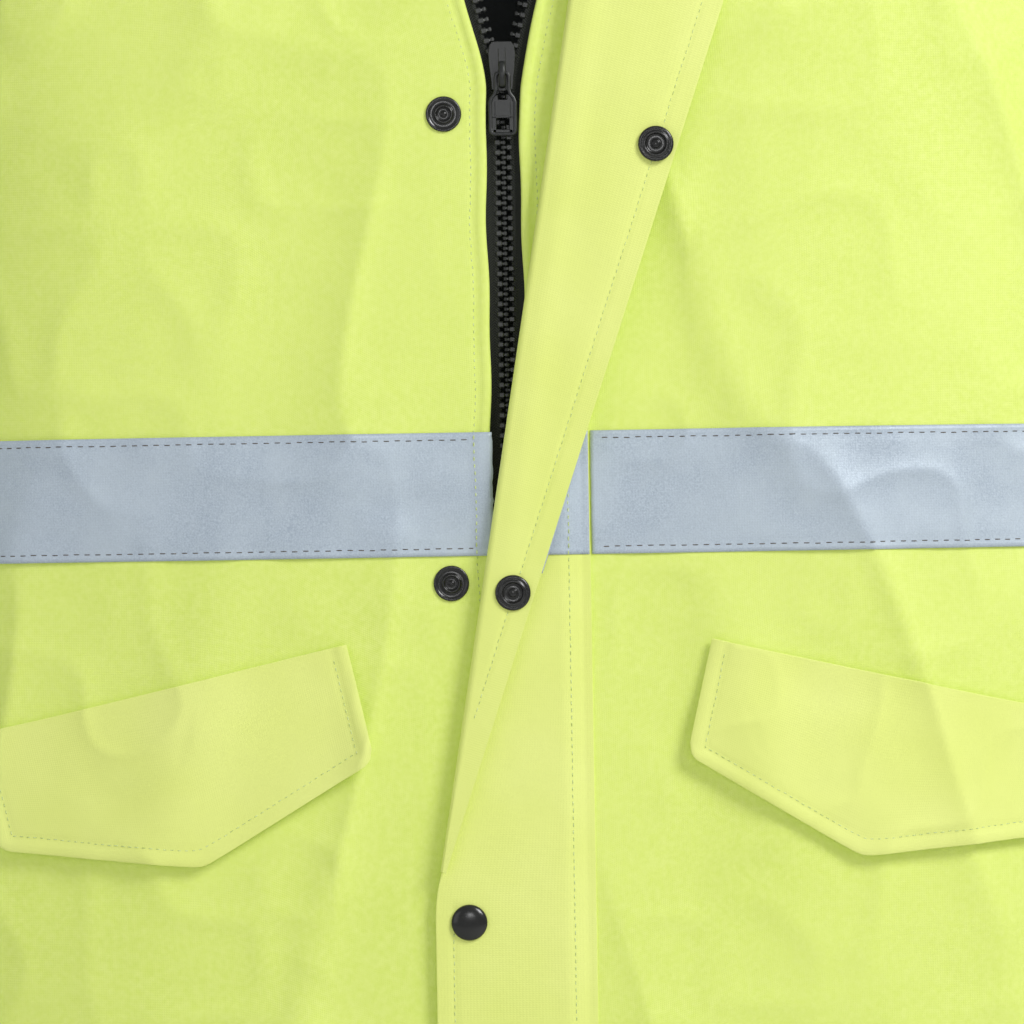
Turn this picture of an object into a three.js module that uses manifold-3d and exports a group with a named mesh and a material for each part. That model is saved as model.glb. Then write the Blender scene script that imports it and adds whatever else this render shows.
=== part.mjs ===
// A sailing foul weather jacket, hung upright and filled out as if it were worn.
// Millimetres, +Z up, the front faces -Y and the wearer's left is +X.
// Heights in the source count from the hem; the exported group is moved to the hanging loop.
import * as THREE from "three";
import { mergeVertices } from "three/addons/utils/BufferGeometryUtils.js";
import Module from "manifold-3d";

const wasm = await Module();
wasm.setup();

// Body of the jacket, size L
const CHEST_HALF = 262;
const CHEST_DEPTH = 112;
const BACK_DEPTH = 108;
const NECK_HALF = 78;
const NECK_DEPTH = 62;
const SHOULDER_START = 560;
const NECK_BACK = 790;
const NECK_FRONT = 700;
const COLLAR_HEIGHT = 85;
const FLAT_HALF = 75;
const ROUNDNESS = 2.8;
const SHELL = 2;
const LINING = 1;
const SEAM_SHARE = 1e-4;

// Front closure, heights h counted forwards from the middle of the zip tape
const TAPE_DEPTH = 4.5;
const TAPE_Y = -(CHEST_DEPTH - TAPE_DEPTH);
const EDGE_HALF = 6.9;
const OPEN_START = 606;
const OPEN_SLOPE = 0.28;
const ZIP_BOTTOM = 14;
const TEETH_GAP = 0.5;
const TEETH_WIDTH = 2.5;
const PULL_PIVOT_Z = 614;
const PULL_PIVOT_H = 4.4;

// Storm flap, folded back along a slanted line
const FLAP_SEAM = 32.5;
const FLAP_FREE = -32.6;
const FLAP_TOP = 668;
const FLAP_BOTTOM = 6;
const FLAP_CLOTH = 1.6;
const FLAP_INNER = 8;
const FLAP_FOOT = 4.9;
const FLAP_RISE = 13;
const TAPE_GAP = 0.2;
const TAPE_CLOTH = 0.5;
const FOLD_Z = 277.9;
const FOLD_SLOPE = 0.164;
const FOLD_H = 10.6;
const FOLD_GAP = 1;

// Press studs, from the top down; the first two are on the folded part
const SNAPS = [
  { x: -24, z: 598 },
  { x: -24, z: 408 },
  { x: -19, z: 271 },
  { x: -19, z: 140 },
  { x: -19, z: 30 },
];
const SNAPS_ON_FOLD = 2;
const SNAP_RADIUS = 7.2;
const POST_RADIUS = 2.2;

// Reflective tape and pockets
const TAPE_LOW = 419;
const TAPE_HIGH = 469;
const POCKET_TILT = THREE.MathUtils.degToRad(13);
const POCKET_WIDTH = 156;
const POCKET_SIDE = 51;
const POCKET_POINT = 77;
const POCKET_CORNER_Z = 387;
const RIGHT_POCKET_X = 67.5;
const LEFT_POCKET_X = 81.5;

// Sleeve, by the lines of its inner and outer edges
const SHOULDER_POINT = new THREE.Vector2(222, 738);
const SHOULDER_CORNER = new THREE.Vector2(385, 652);
const ARMPIT = new THREE.Vector2(270, 528);
const SLEEVE_WIDTH = 148;
const CUFF_WIDTH = 110;
const SLEEVE_LEAN = THREE.MathUtils.degToRad(17);
const CUFF_LEAN = THREE.MathUtils.degToRad(8);
const LOWER_LENGTH = 390;
const CAP_SHARE = 0.35;
const ARMHOLE_DEPTH = 88;
const CAP_DEPTH = 78;
const CUFF_DEPTH = 58;
const CUFF_FORWARD = 22;
const ARMHOLE_TUCK = 500;

const YELLOW = { color: 0xd6e67c, roughness: 0.55, metalness: 0 };
const BLACK_CLOTH = { color: 0x161a17, roughness: 0.85, metalness: 0 };
const BLACK_PLASTIC = { color: 0x141512, roughness: 0.35, metalness: 0 };
const LINING_CLOTH = { color: 0x23272c, roughness: 0.7, metalness: 0 };
const REFLECTIVE = { color: 0xaab8c2, roughness: 0.4, metalness: 0.3 };

const clamp = (x, low = 0, high = 1) => Math.min(high, Math.max(low, x));
const mix = (a, b, t) => a + (b - a) * t;

// Rises from 0 at a to 1 at b with level ends.
function smooth(a, b, x) {
  const t = clamp((x - a) / (b - a));
  return t * t * (3 - 2 * t);
}

// count + 1 even steps from a to b.
function steps(a, b, count) {
  return Array.from({ length: count + 1 }, (_, i) => mix(a, b, i / count));
}

// Two lists of rising values as one, with the shared end kept once.
function joined(...lists) {
  return lists.reduce((all, list) => [...all, ...list.slice(all.length ? 1 : 0)], []);
}

// A geometry reduced to shared positions, with its faces turned outwards.
function tidy(geometry) {
  const bare = geometry.index ? geometry.toNonIndexed() : geometry.clone();
  for (const name of Object.keys(bare.attributes)) {
    if (name !== "position") bare.deleteAttribute(name);
  }
  const merged = mergeVertices(bare, 1e-3);
  const index = merged.index.array;
  if (volumeOf(merged) < 0) {
    for (let i = 0; i < index.length; i += 3) [index[i + 1], index[i + 2]] = [index[i + 2], index[i + 1]];
  }
  return merged;
}

// Signed volume of a closed indexed geometry.
function volumeOf(geometry) {
  const p = geometry.attributes.position;
  const index = geometry.index.array;
  const [a, b, c] = [new THREE.Vector3(), new THREE.Vector3(), new THREE.Vector3()];
  let sum = 0;
  for (let i = 0; i < index.length; i += 3) {
    a.fromBufferAttribute(p, index[i]);
    b.fromBufferAttribute(p, index[i + 1]);
    c.fromBufferAttribute(p, index[i + 2]);
    sum += a.dot(b.cross(c)) / 6;
  }
  return sum;
}

function toSolid(geometry) {
  const merged = tidy(geometry);
  return new wasm.Manifold(
    new wasm.Mesh({
      numProp: 3,
      vertProperties: new Float32Array(merged.attributes.position.array),
      triVerts: new Uint32Array(merged.index.array),
    }),
  );
}

function toGeometry(solid) {
  const mesh = solid.getMesh();
  return new THREE.BufferGeometry()
    .setAttribute("position", new THREE.BufferAttribute(mesh.vertProperties, mesh.numProp))
    .setIndex(new THREE.BufferAttribute(mesh.triVerts, 1));
}

// first with every other geometry cut away from it.
function cut(first, ...others) {
  return toGeometry(others.reduce((solid, other) => solid.subtract(toSolid(other)), toSolid(first)));
}

function join(first, ...others) {
  return toGeometry(others.reduce((solid, other) => solid.add(toSolid(other)), toSolid(first)));
}

// The closed solid between two grids of points that face each other, [row][column].
// round joins the last column to the first.
function between(outer, inner, round = false) {
  const rows = outer.length;
  const columns = outer[0].length;
  const positions = [];
  const index = [];
  for (const grid of [outer, inner]) {
    for (const row of grid) for (const point of row) positions.push(point.x, point.y, point.z);
  }
  const at = (layer, i, j) => (layer * rows + i) * columns + (j % columns);
  const quad = (a, b, c, d) => index.push(a, b, c, a, c, d);
  const wide = round ? columns : columns - 1;
  for (let i = 0; i < rows - 1; i++) {
    for (let j = 0; j < wide; j++) {
      quad(at(0, i, j), at(0, i, j + 1), at(0, i + 1, j + 1), at(0, i + 1, j));
      quad(at(1, i, j), at(1, i + 1, j), at(1, i + 1, j + 1), at(1, i, j + 1));
    }
  }
  for (let j = 0; j < wide; j++) {
    quad(at(0, 0, j), at(1, 0, j), at(1, 0, j + 1), at(0, 0, j + 1));
    quad(at(0, rows - 1, j), at(0, rows - 1, j + 1), at(1, rows - 1, j + 1), at(1, rows - 1, j));
  }
  for (let i = 0; i < rows - 1 && !round; i++) {
    quad(at(0, i, 0), at(0, i + 1, 0), at(1, i + 1, 0), at(1, i, 0));
    quad(at(0, i, columns - 1), at(1, i, columns - 1), at(1, i + 1, columns - 1), at(0, i + 1, columns - 1));
  }
  const geometry = new THREE.BufferGeometry();
  geometry.setAttribute("position", new THREE.BufferAttribute(new Float32Array(positions), 3));
  return tidy(geometry.setIndex(index));
}

// The outward unit normal of place(u, v).
// facing is 1 where u runs to the wearer's left across the front, and -1 where it runs to the right.
function outward(place, u, v, facing) {
  const small = 1e-3;
  const along = place(u + small, v).sub(place(u - small, v));
  const up = place(u, v + small).sub(place(u, v - small));
  return along.cross(up).normalize().multiplyScalar(facing);
}

// Rows of points of place(u, v), moved out by lift.
function grid(place, us, vs, lift, facing = 1) {
  return vs.map((v) => us.map((u) => place(u, v).addScaledVector(outward(place, u, v, facing), lift)));
}

// A cloth of the surface place(u, v), lying from low to high along the outward side.
function cloth(place, us, vs, low, high, facing = 1, round = false) {
  return between(grid(place, us, vs, high, facing), grid(place, us, vs, low, facing), round);
}

// How far the two fronts stand apart at a height, above the zip slider.
function parting(z) {
  const above = Math.max(0, z - OPEN_START);
  return (OPEN_SLOPE * above * above) / (above + 12);
}

const seamX = (z) => FLAP_SEAM + parting(z);
const foldX = (z) => Math.max(FLAP_FREE, FLAP_FREE + FOLD_SLOPE * (z - FOLD_Z));

function halfWidth(z) {
  const t = clamp((z - SHOULDER_START) / (NECK_BACK - SHOULDER_START));
  return NECK_HALF + (CHEST_HALF - NECK_HALF) * (1 - t ** 4) ** 0.74;
}

const frontDepth = (z) => mix(CHEST_DEPTH, NECK_DEPTH, smooth(640, 800, z));
const backDepth = (z) => mix(BACK_DEPTH, NECK_DEPTH, smooth(580, 800, z));
const flatHalf = (z) => mix(FLAT_HALF, 46, smooth(640, 780, z));

// Half of a level section of the body: s is 0 at the front middle, 1 at the side seam and 2 at the back middle.
// A straight run is followed by a quarter of a superellipse, in front and behind.
const FLAT_SHARE = 0.25;
function section(side, s, z) {
  const front = s < 1;
  const run = front ? s : 2 - s;
  const flat = flatHalf(z);
  const depth = front ? -frontDepth(z) : backDepth(z);
  if (run < FLAT_SHARE) return new THREE.Vector3((side * flat * run) / FLAT_SHARE, depth, z);
  const angle = ((run - FLAT_SHARE) / (1 - FLAT_SHARE)) * (Math.PI / 2);
  const x = flat + (halfWidth(z) - flat) * Math.abs(Math.sin(angle)) ** (2 / ROUNDNESS);
  return new THREE.Vector3(side * x, depth * Math.abs(Math.cos(angle)) ** (2 / ROUNDNESS), z);
}

// Height of the neck seam: where the body's surface meets an upright elliptical neck, found by halving.
const NECK_CENTRE = (NECK_DEPTH - frontDepth(NECK_FRONT)) / 2;
function neckSeam(s) {
  let [low, high] = [NECK_FRONT - 40, NECK_BACK];
  for (let i = 0; i < 24; i++) {
    const z = (low + high) / 2;
    const point = section(1, s, z);
    const reach = Math.hypot(point.x / (NECK_HALF + 2), (point.y - NECK_CENTRE) / (NECK_DEPTH - NECK_CENTRE));
    if (reach > 1) low = z;
    else high = z;
  }
  return (low + high) / 2;
}

// The front panel from its edge at the zip (u = 0) to the side seam (u = 1), hem (v = 0) to neck (v = 1).
function frontPanel(side, edge) {
  return (u, v) => {
    const share = 0.2;
    const guess = NECK_FRONT * v;
    const start = ((edge + parting(guess)) / flatHalf(guess)) * FLAT_SHARE;
    const end = 1 - SEAM_SHARE;
    const s = u < share ? mix(start, FLAT_SHARE, u / share) : mix(FLAT_SHARE, end, (u - share) / (1 - share));
    return section(side, s, neckSeam(s) * v);
  };
}

// The back panel, u from -1 at the wearer's left side seam to 1 at the right one.
const backPanel = (u, v) => section(u < 0 ? 1 : -1, 2 - Math.abs(u), neckSeam(2 - Math.abs(u)) * v);

// The whole body round from the left front (u = 0) by the left side (1), the back (2) and the right side (3).
const around = (u, v) => {
  const s = u < 2 ? u : 4 - u;
  return section(u < 2 ? 1 : -1, s, neckSeam(s) * v);
};

// A place function moved in by depth(u) millimetres.
function inset(place, depth, facing = 1) {
  return (u, v) => place(u, v).addScaledVector(outward(place, u, v, facing), -depth(u));
}

// The solid inside a stack of closed rings.
function filled(rings) {
  const count = rings[0].length;
  const positions = rings.flat().flatMap((point) => [point.x, point.y, point.z]);
  const index = [];
  for (const ring of [rings[0], rings.at(-1)]) {
    const middle = ring.reduce((sum, point) => sum.add(point), new THREE.Vector3()).divideScalar(count);
    positions.push(middle.x, middle.y, middle.z);
  }
  const first = rings.length * count;
  for (let j = 0; j < count; j++) {
    const next = (j + 1) % count;
    for (let i = 0; i < rings.length - 1; i++) {
      const [a, b] = [i * count, (i + 1) * count];
      index.push(a + j, a + next, b + next, a + j, b + next, b + j);
    }
    const last = (rings.length - 1) * count;
    index.push(first, next, j, first + 1, last + j, last + next);
  }
  const geometry = new THREE.BufferGeometry();
  geometry.setAttribute("position", new THREE.BufferAttribute(new Float32Array(positions), 3));
  return tidy(geometry.setIndex(index));
}

const root = new THREE.Group();
const jacket = new THREE.Group();
root.add(jacket);

function add(name, geometry, finish) {
  const mesh = new THREE.Mesh(tidy(geometry), new THREE.MeshStandardMaterial(finish));
  mesh.name = name;
  jacket.add(mesh);
  return mesh;
}

// Sleeve: rings that fan round the armpit, then run down to the cuff. v is 0 at the armhole and 1 at the cuff.
const ARMHOLE_LOW = new THREE.Vector2(254, 536);
function sleeveEdges(v) {
  const across = (angle) => new THREE.Vector2(Math.cos(angle), Math.sin(angle));
  const down = (angle) => new THREE.Vector2(Math.sin(angle), -Math.cos(angle));
  const capOuter = ARMPIT.clone().addScaledVector(across(SLEEVE_LEAN), SLEEVE_WIDTH);
  if (v <= CAP_SHARE) {
    const t = Math.max(0, v) / CAP_SHARE;
    const outer = SHOULDER_POINT.clone().multiplyScalar((1 - t) ** 2);
    outer.addScaledVector(SHOULDER_CORNER, 2 * t * (1 - t)).addScaledVector(capOuter, t * t);
    const inner = ARMHOLE_LOW.clone().lerp(ARMPIT, t);
    const into = new THREE.Vector2(Math.min(0, v) * ARMHOLE_TUCK, 0);
    return [inner.add(into), outer.add(into)];
  }
  const t = (v - CAP_SHARE) / (1 - CAP_SHARE);
  const outer = capOuter.addScaledVector(down(mix(SLEEVE_LEAN, CUFF_LEAN, t / 2)), LOWER_LENGTH * t);
  const width = mix(SLEEVE_WIDTH, CUFF_WIDTH, t);
  return [outer.clone().addScaledVector(across(mix(SLEEVE_LEAN, CUFF_LEAN, t)), -width), outer];
}

function sleeve(side) {
  return (u, v) => {
    const [inner, outer] = sleeveEdges(v);
    const t = clamp((v - CAP_SHARE) / (1 - CAP_SHARE));
    const depth = mix(mix(ARMHOLE_DEPTH, CAP_DEPTH, smooth(0, CAP_SHARE, v)), CUFF_DEPTH, t);
    const angle = 2 * Math.PI * u;
    const middle = inner.clone().add(outer).divideScalar(2);
    const half = outer.sub(inner).divideScalar(2).multiplyScalar(Math.cos(angle));
    return new THREE.Vector3(side * (middle.x + half.x), depth * Math.sin(angle) - CUFF_FORWARD * t * t, middle.y + half.y);
  };
}

const RING_U = steps(0, 1, 16).slice(0, -1);
const SLEEVE_TAPE = [0.56, 0.66];
const CUFF_START = 0.94;
const SLEEVE_V = [-0.1, 0, 0.12, 0.24, CAP_SHARE, ...SLEEVE_TAPE, CUFF_START, 1];

// Shell panels with armholes and pocket mouths cut out.
const FRONT_U = joined(steps(0, 0.2, 2), steps(0.2, 1, 9));
const BODY_V = joined([0, TAPE_LOW / NECK_BACK], steps(TAPE_LOW / NECK_BACK, 0.7, 1), steps(0.7, 1, 8));
const BODY_U = joined(steps(0, FLAT_SHARE, 2), steps(FLAT_SHARE, 1, 9));
const LOOP_U = joined(BODY_U, steps(1, 2, 7), steps(2, 3, 7), BODY_U.map((u) => 4 - u).reverse());
const bodyVolume = filled(grid(around, LOOP_U.slice(0, -1), BODY_V, 1.2));
const sleeveVolumes = {};
for (const side of [1, -1]) sleeveVolumes[side] = filled(grid(sleeve(side), RING_U, SLEEVE_V, 0, -side));

// Slanted pocket coordinates: u outwards and d downwards from the pocket's inner top corner.
function pocket(side, corner) {
  return (u, d) => {
    const x = corner + u * Math.cos(POCKET_TILT) - d * Math.sin(POCKET_TILT);
    const z = POCKET_CORNER_Z - u * Math.sin(POCKET_TILT) - d * Math.cos(POCKET_TILT);
    const t = clamp((x - FLAT_HALF) / (CHEST_HALF - FLAT_HALF));
    return new THREE.Vector3(side * x, -CHEST_DEPTH * (1 - t ** ROUNDNESS) ** (1 / ROUNDNESS), z);
  };
}

const POCKETS = [
  { name: "right", side: -1, place: pocket(-1, RIGHT_POCKET_X) },
  { name: "left", side: 1, place: pocket(1, LEFT_POCKET_X) },
];
const POCKET_U = steps(0, POCKET_WIDTH, 8);
const mouths = {};
for (const { name, side, place } of POCKETS) {
  const block = (u0, u1, d0, d1, low, high) =>
    cloth(place, steps(u0, u1, 8), steps(d0, d1, 2), low, high, -side);
  const mouth = block(12, POCKET_WIDTH - 8, 8, 24, -7, 3);
  mouths[name] = mouth;
  const bag = block(8, POCKET_WIDTH - 4, 4, 140, -16.5, -3.4);
  add(name + "_pocket_bag", cut(bag, block(10, POCKET_WIDTH - 6, 6, 138, -15.3, -4.6), mouth), LINING_CLOTH);
  const edge = (u, v) => place(u, 3 + v * (mix(POCKET_SIDE, POCKET_POINT, 1 - Math.abs(2 * (u / POCKET_WIDTH) - 1)) - 3));
  add(name + "_pocket_flap", cloth(edge, POCKET_U, steps(0, 1, 3), 1.2, 3, -side), YELLOW);
}

for (const [name, side] of [["right", -1], ["left", 1]]) {
  const panel = cloth(frontPanel(side, EDGE_HALF), FRONT_U, BODY_V, -SHELL, 0, side);
  const studs = SNAPS.map(({ x, z }) => postHole(x, z));
  const holes = side < 0 ? studs : [];
  add(name + "_front_panel", cut(panel, sleeveVolumes[side], mouths[name], ...holes), YELLOW);
}
const BACK_U = steps(-1 + SEAM_SHARE, 1 - SEAM_SHARE, 14);
const back = cloth(backPanel, BACK_U, BODY_V, -SHELL, 0);
add("back_panel", cut(back, sleeveVolumes[1], sleeveVolumes[-1]), YELLOW);

// Lining: close behind the zip and the back, further in where the pocket bags hang.
const liningDepth = (u) => {
  const s = u < 2 ? u : 4 - u;
  return 8 + 14 * smooth(0.1, 0.16, s) * (1 - 0.9 * smooth(1, 1.6, s));
};
const LINING_HALF = joined([0.1, 0.16, FLAT_SHARE], steps(FLAT_SHARE, 1, 5), steps(1, 2, 4));
const LINING_U = joined(LINING_HALF, LINING_HALF.map((u) => 4 - u).reverse());
const LINING_V = joined([0.02, 0.6], steps(0.6, 0.97, 6));
const lining = cloth(inset(around, liningDepth), LINING_U, LINING_V, -LINING, 0);
add("body_lining", cut(lining, sleeveVolumes[1], sleeveVolumes[-1]), LINING_CLOTH);

for (const [name, side] of [["right", -1], ["left", 1]]) {
  const tube = cloth(sleeve(side), RING_U, SLEEVE_V, -SHELL, 0, -side, true);
  add(name + "_sleeve", cut(tube, bodyVolume), YELLOW);
  const inner = cloth(sleeve(side), RING_U, SLEEVE_V, -6, -5, -side, true);
  add(name + "_sleeve_lining", cut(inner, bodyVolume), LINING_CLOTH);
  add(name + "_sleeve_tape", cloth(sleeve(side), RING_U, SLEEVE_TAPE, 0.4, 1, -side, true), REFLECTIVE);
  add(name + "_cuff_band", cloth(sleeve(side), RING_U, [CUFF_START, 1], 0.4, 2, -side, true), YELLOW);
}

// Collar, standing on the neck seam and falling open in front.
const COLLAR_TILT = 12;
const collarStart = ((EDGE_HALF + parting(NECK_FRONT)) / flatHalf(NECK_FRONT)) * FLAT_SHARE;
const collar = (u, v) => {
  const s = u < 2 ? u : 4 - u;
  const side = u < 2 ? 1 : -1;
  const foot = around(u, 1);
  const front = 1 - smooth(collarStart, 0.9, s);
  const spread = (parting(NECK_FRONT + COLLAR_HEIGHT) - parting(NECK_FRONT)) * front;
  return foot.add(new THREE.Vector3(side * spread * v, COLLAR_TILT * v * front, 1 + COLLAR_HEIGHT * v));
};
const COLLAR_FRONT = joined(steps(collarStart, FLAT_SHARE, 2), steps(FLAT_SHARE, 1, 9));
const COLLAR_U = joined(COLLAR_FRONT, steps(1, 3, 14), COLLAR_FRONT.map((u) => 4 - u).reverse());
add("collar", cloth(collar, COLLAR_U, steps(0, 1, 3), -SHELL, 0), YELLOW);
add("collar_lining", cloth(collar, COLLAR_U, steps(0.02, 0.96, 2), -13, -12), LINING_CLOTH);

// Hanging loop, a strap that arches behind the neck.
const LOOP_HALF = 34;
const LOOP_RISE = 16;
const LOOP_WIDTH = 8;
const LOOP_STRAP = 1.6;
const LOOP_Y = 40.6;
const LOOP_FOOT = NECK_BACK + 2;
const arch = new THREE.Shape();
arch.absellipse(0, 0, LOOP_HALF, LOOP_RISE, 0, Math.PI);
arch.absellipse(0, 0, LOOP_HALF - LOOP_STRAP, LOOP_RISE - LOOP_STRAP, Math.PI, 0, true);
const loop = new THREE.ExtrudeGeometry(arch, { depth: LOOP_WIDTH, bevelEnabled: false, curveSegments: 10 });
add("hanging_loop", loop.rotateX(Math.PI / 2).translate(0, LOOP_Y + LOOP_WIDTH, LOOP_FOOT), BLACK_CLOTH);

// Zip: a tape and a row of teeth on each front, from the hem to the top of the collar.
const NECK_EDGE = neckSeam(collarStart);
const ZIP_Z = [ZIP_BOTTOM, OPEN_START - 4, 612, 622, 640, 656, 672, 688, 702, NECK_EDGE, NECK_EDGE + COLLAR_HEIGHT - 4];
const ZIP_TAPE_WIDTH = 13;
const ZIP_TAPE_HALF = 0.3;
const TOOTH_HALF = 1.4;
function zipStrip(side, start, width, half) {
  const place = (u, z) => {
    const x = start + parting(Math.min(z, NECK_FRONT)) + width * u;
    if (z < NECK_EDGE) {
      return new THREE.Vector3(side * x, TAPE_DEPTH + 2 * smooth(640, 690, z) - frontDepth(z), z);
    }
    const s = (x / flatHalf(NECK_FRONT)) * FLAT_SHARE;
    const onCollar = collar(side > 0 ? s : 4 - s, (z - NECK_EDGE) / COLLAR_HEIGHT);
    const lift = onCollar.z - z;
    return onCollar.add(new THREE.Vector3(0, TAPE_DEPTH + 2, -lift));
  };
  return cloth(place, [0, 1], ZIP_Z, -half, half, side);
}
for (const [name, side] of [["right", -1], ["left", 1]]) {
  add(name + "_zip_tape", zipStrip(side, TEETH_GAP + TEETH_WIDTH + ZIP_TAPE_HALF, ZIP_TAPE_WIDTH, ZIP_TAPE_HALF), BLACK_CLOTH);
  add(name + "_zip_teeth", zipStrip(side, TEETH_GAP, TEETH_WIDTH, TOOTH_HALF), BLACK_PLASTIC);
}

// A block by its low and high corners in x, h (forwards from the zip tape) and z.
function block([x0, x1], [h0, h1], [z0, z1]) {
  const box = new THREE.BoxGeometry(x1 - x0, h1 - h0, z1 - z0);
  return box.translate((x0 + x1) / 2, TAPE_Y - (h0 + h1) / 2, (z0 + z1) / 2);
}

// An outline in x and z, filled from h0 to h1 in front of the zip tape.
function plate(outline, h0, h1) {
  const body = new THREE.ExtrudeGeometry(outline, { depth: h1 - h0, bevelEnabled: false, curveSegments: 6 });
  return body.rotateX(Math.PI / 2).translate(0, TAPE_Y - h0, 0);
}

// A round piece that faces forwards at x, z: the profile's points are [radius, h].
function turned(x, z, profile, segments = 10) {
  const points = profile.map(([radius, h]) => new THREE.Vector2(radius, h));
  return new THREE.LatheGeometry(points, segments).rotateX(Math.PI).translate(x, TAPE_Y, z);
}

function postHole(x, z) {
  const radius = POST_RADIUS + 0.4;
  return turned(x, z, [[0, -4], [radius, -4], [radius, 16], [0, 16]], 12);
}

function outline(points, ...holes) {
  const shape = new THREE.Shape(points.map(([x, z]) => new THREE.Vector2(x, z)));
  shape.holes = holes.map((hole) => new THREE.Path(hole.map(([x, z]) => new THREE.Vector2(x, z))));
  return shape;
}

// Slider: a plate on each side of the chain, the wedge between them and the bail that holds the pull.
const TOP_PLATE = [1.7, 2.8];
const shield = outline([[-4.2, 608], [4.2, 608], [5.2, 616], [5.6, 623], [4, 627], [-4, 627], [-5.6, 623], [-5.2, 616]]);
const bail = join(
  block([-1.3, 1.3], [TOP_PLATE[1] - 0.3, 5.9], [607.9, 610.3]),
  block([-1.3, 1.3], [TOP_PLATE[1] - 0.3, 5.9], [617.4, 619.6]),
  block([-1.3, 1.3], [5.8, 6.8], [607.9, 619.6]),
);
const wedge = block([-0.36, 0.36], [-TOP_PLATE[0] - 0.2, TOP_PLATE[0] + 0.2], [619, 626]);
const plates = [plate(shield, ...TOP_PLATE), plate(shield, -TOP_PLATE[1], -TOP_PLATE[0])];
add("zip_slider", join(plates[0], plates[1], wedge, bail), BLACK_PLASTIC);

// Pull: a plate with a window, on a ring whose cross bar runs through the bail.
const PULL_H = [PULL_PIVOT_H - 0.8, PULL_PIVOT_H + 0.8];
const ring = [[-1.8, 604], [1.8, 604], [1.8, PULL_PIVOT_Z - 0.8], [-1.8, PULL_PIVOT_Z - 0.8]];
const windowHole = [[-2.7, 591.4], [2.7, 591.4], [2.7, 596.4], [-2.7, 596.4]];
const pullEdge = [[-4.6, 588.8], [4.6, 588.8], [5.8, 590.4], [5.8, 603], [3.4, 606], [3.4, 615], [-3.4, 615],
  [-3.4, 606], [-5.8, 603], [-5.8, 590.4]];
add("zip_pull", plate(outline(pullEdge, ring, windowHole), ...PULL_H), BLACK_PLASTIC);

// The separating end at the hem: a box on the left tape and a pin on the right one.
add("zip_box", block([-0.2, 6.4], [-2.2, 2.2], [2, ZIP_BOTTOM - 0.3]), BLACK_PLASTIC);
add("zip_pin", block([-3, -0.6], [-1.4, 1.4], [2, ZIP_BOTTOM - 0.3]), BLACK_PLASTIC);

// Storm flap. The base is sewn to the left front and lies over the zip as far as the fold.
const baseEdge = (z) => (z > FOLD_Z ? Math.max(FLAP_FREE, foldX(z) + FOLD_GAP) : FLAP_FREE);
function overBase(zs, start, trim, low, high) {
  const layer = (lift) =>
    zs.map((z) =>
      [start, 4, 7, 10, FLAP_RISE, seamX(z) - baseEdge(z) - trim].map((distance) => {
        const h = mix(FLAP_FOOT, FLAP_INNER, smooth(2, FLAP_RISE, distance)) + lift;
        return new THREE.Vector3(seamX(z) - distance, TAPE_Y - h, z);
      }),
    );
  return between(layer(high), layer(low));
}
const FLAP_Z = [FLAP_BOTTOM, FOLD_Z, TAPE_LOW, TAPE_HIGH, 600, 612, 630, 650, FLAP_TOP];
const flapHoles = SNAPS.slice(SNAPS_ON_FOLD).map(({ x, z }) => postHole(x, z));
add("storm_flap_base", cut(overBase(FLAP_Z, 0, 0, 0, FLAP_CLOTH), ...flapHoles), YELLOW);
add("storm_flap_tape", overBase([TAPE_LOW, TAPE_HIGH], 1, 1, FLAP_CLOTH + TAPE_GAP, FLAP_CLOTH + TAPE_GAP + TAPE_CLOTH), REFLECTIVE);

// The folded part is shaped as it lies when closed, then turned half a turn about the fold.
const CLOSED_INNER = FLAP_INNER + 0.1;
const foldLine = new THREE.Vector3(FOLD_SLOPE, 0, 1).normalize();
const foldPoint = new THREE.Vector3(FLAP_FREE, TAPE_Y - FOLD_H, FOLD_Z);
function foldedBack(geometry) {
  const turn = new THREE.Matrix4().makeRotationAxis(foldLine, Math.PI);
  return geometry.translate(...foldPoint.clone().negate()).applyMatrix4(turn).translate(...foldPoint);
}
const tip = FOLD_Z + 14;
const foldedOutline = outline([
  [FLAP_FREE, tip],
  [foldX(tip) - FOLD_GAP, tip],
  [foldX(FLAP_TOP) - FOLD_GAP, FLAP_TOP],
  [FLAP_FREE + 8, FLAP_TOP],
  [FLAP_FREE, FLAP_TOP - 8],
]);
const foldedHoles = SNAPS.slice(0, SNAPS_ON_FOLD).map(({ x, z }) => postHole(x, z));
const folded = cut(plate(foldedOutline, CLOSED_INNER, CLOSED_INNER + FLAP_CLOTH), ...foldedHoles);
add("storm_flap_fold", foldedBack(folded), YELLOW);
const foldedTape = outline([
  [FLAP_FREE + 1, TAPE_LOW],
  [foldX(TAPE_LOW) - FOLD_GAP - 1, TAPE_LOW],
  [foldX(TAPE_HIGH) - FOLD_GAP - 1, TAPE_HIGH],
  [FLAP_FREE + 1, TAPE_HIGH],
]);
const foldedTapeH = CLOSED_INNER + FLAP_CLOTH + TAPE_GAP;
add("storm_flap_fold_tape", foldedBack(plate(foldedTape, foldedTapeH, foldedTapeH + TAPE_CLOTH)), REFLECTIVE);

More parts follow.
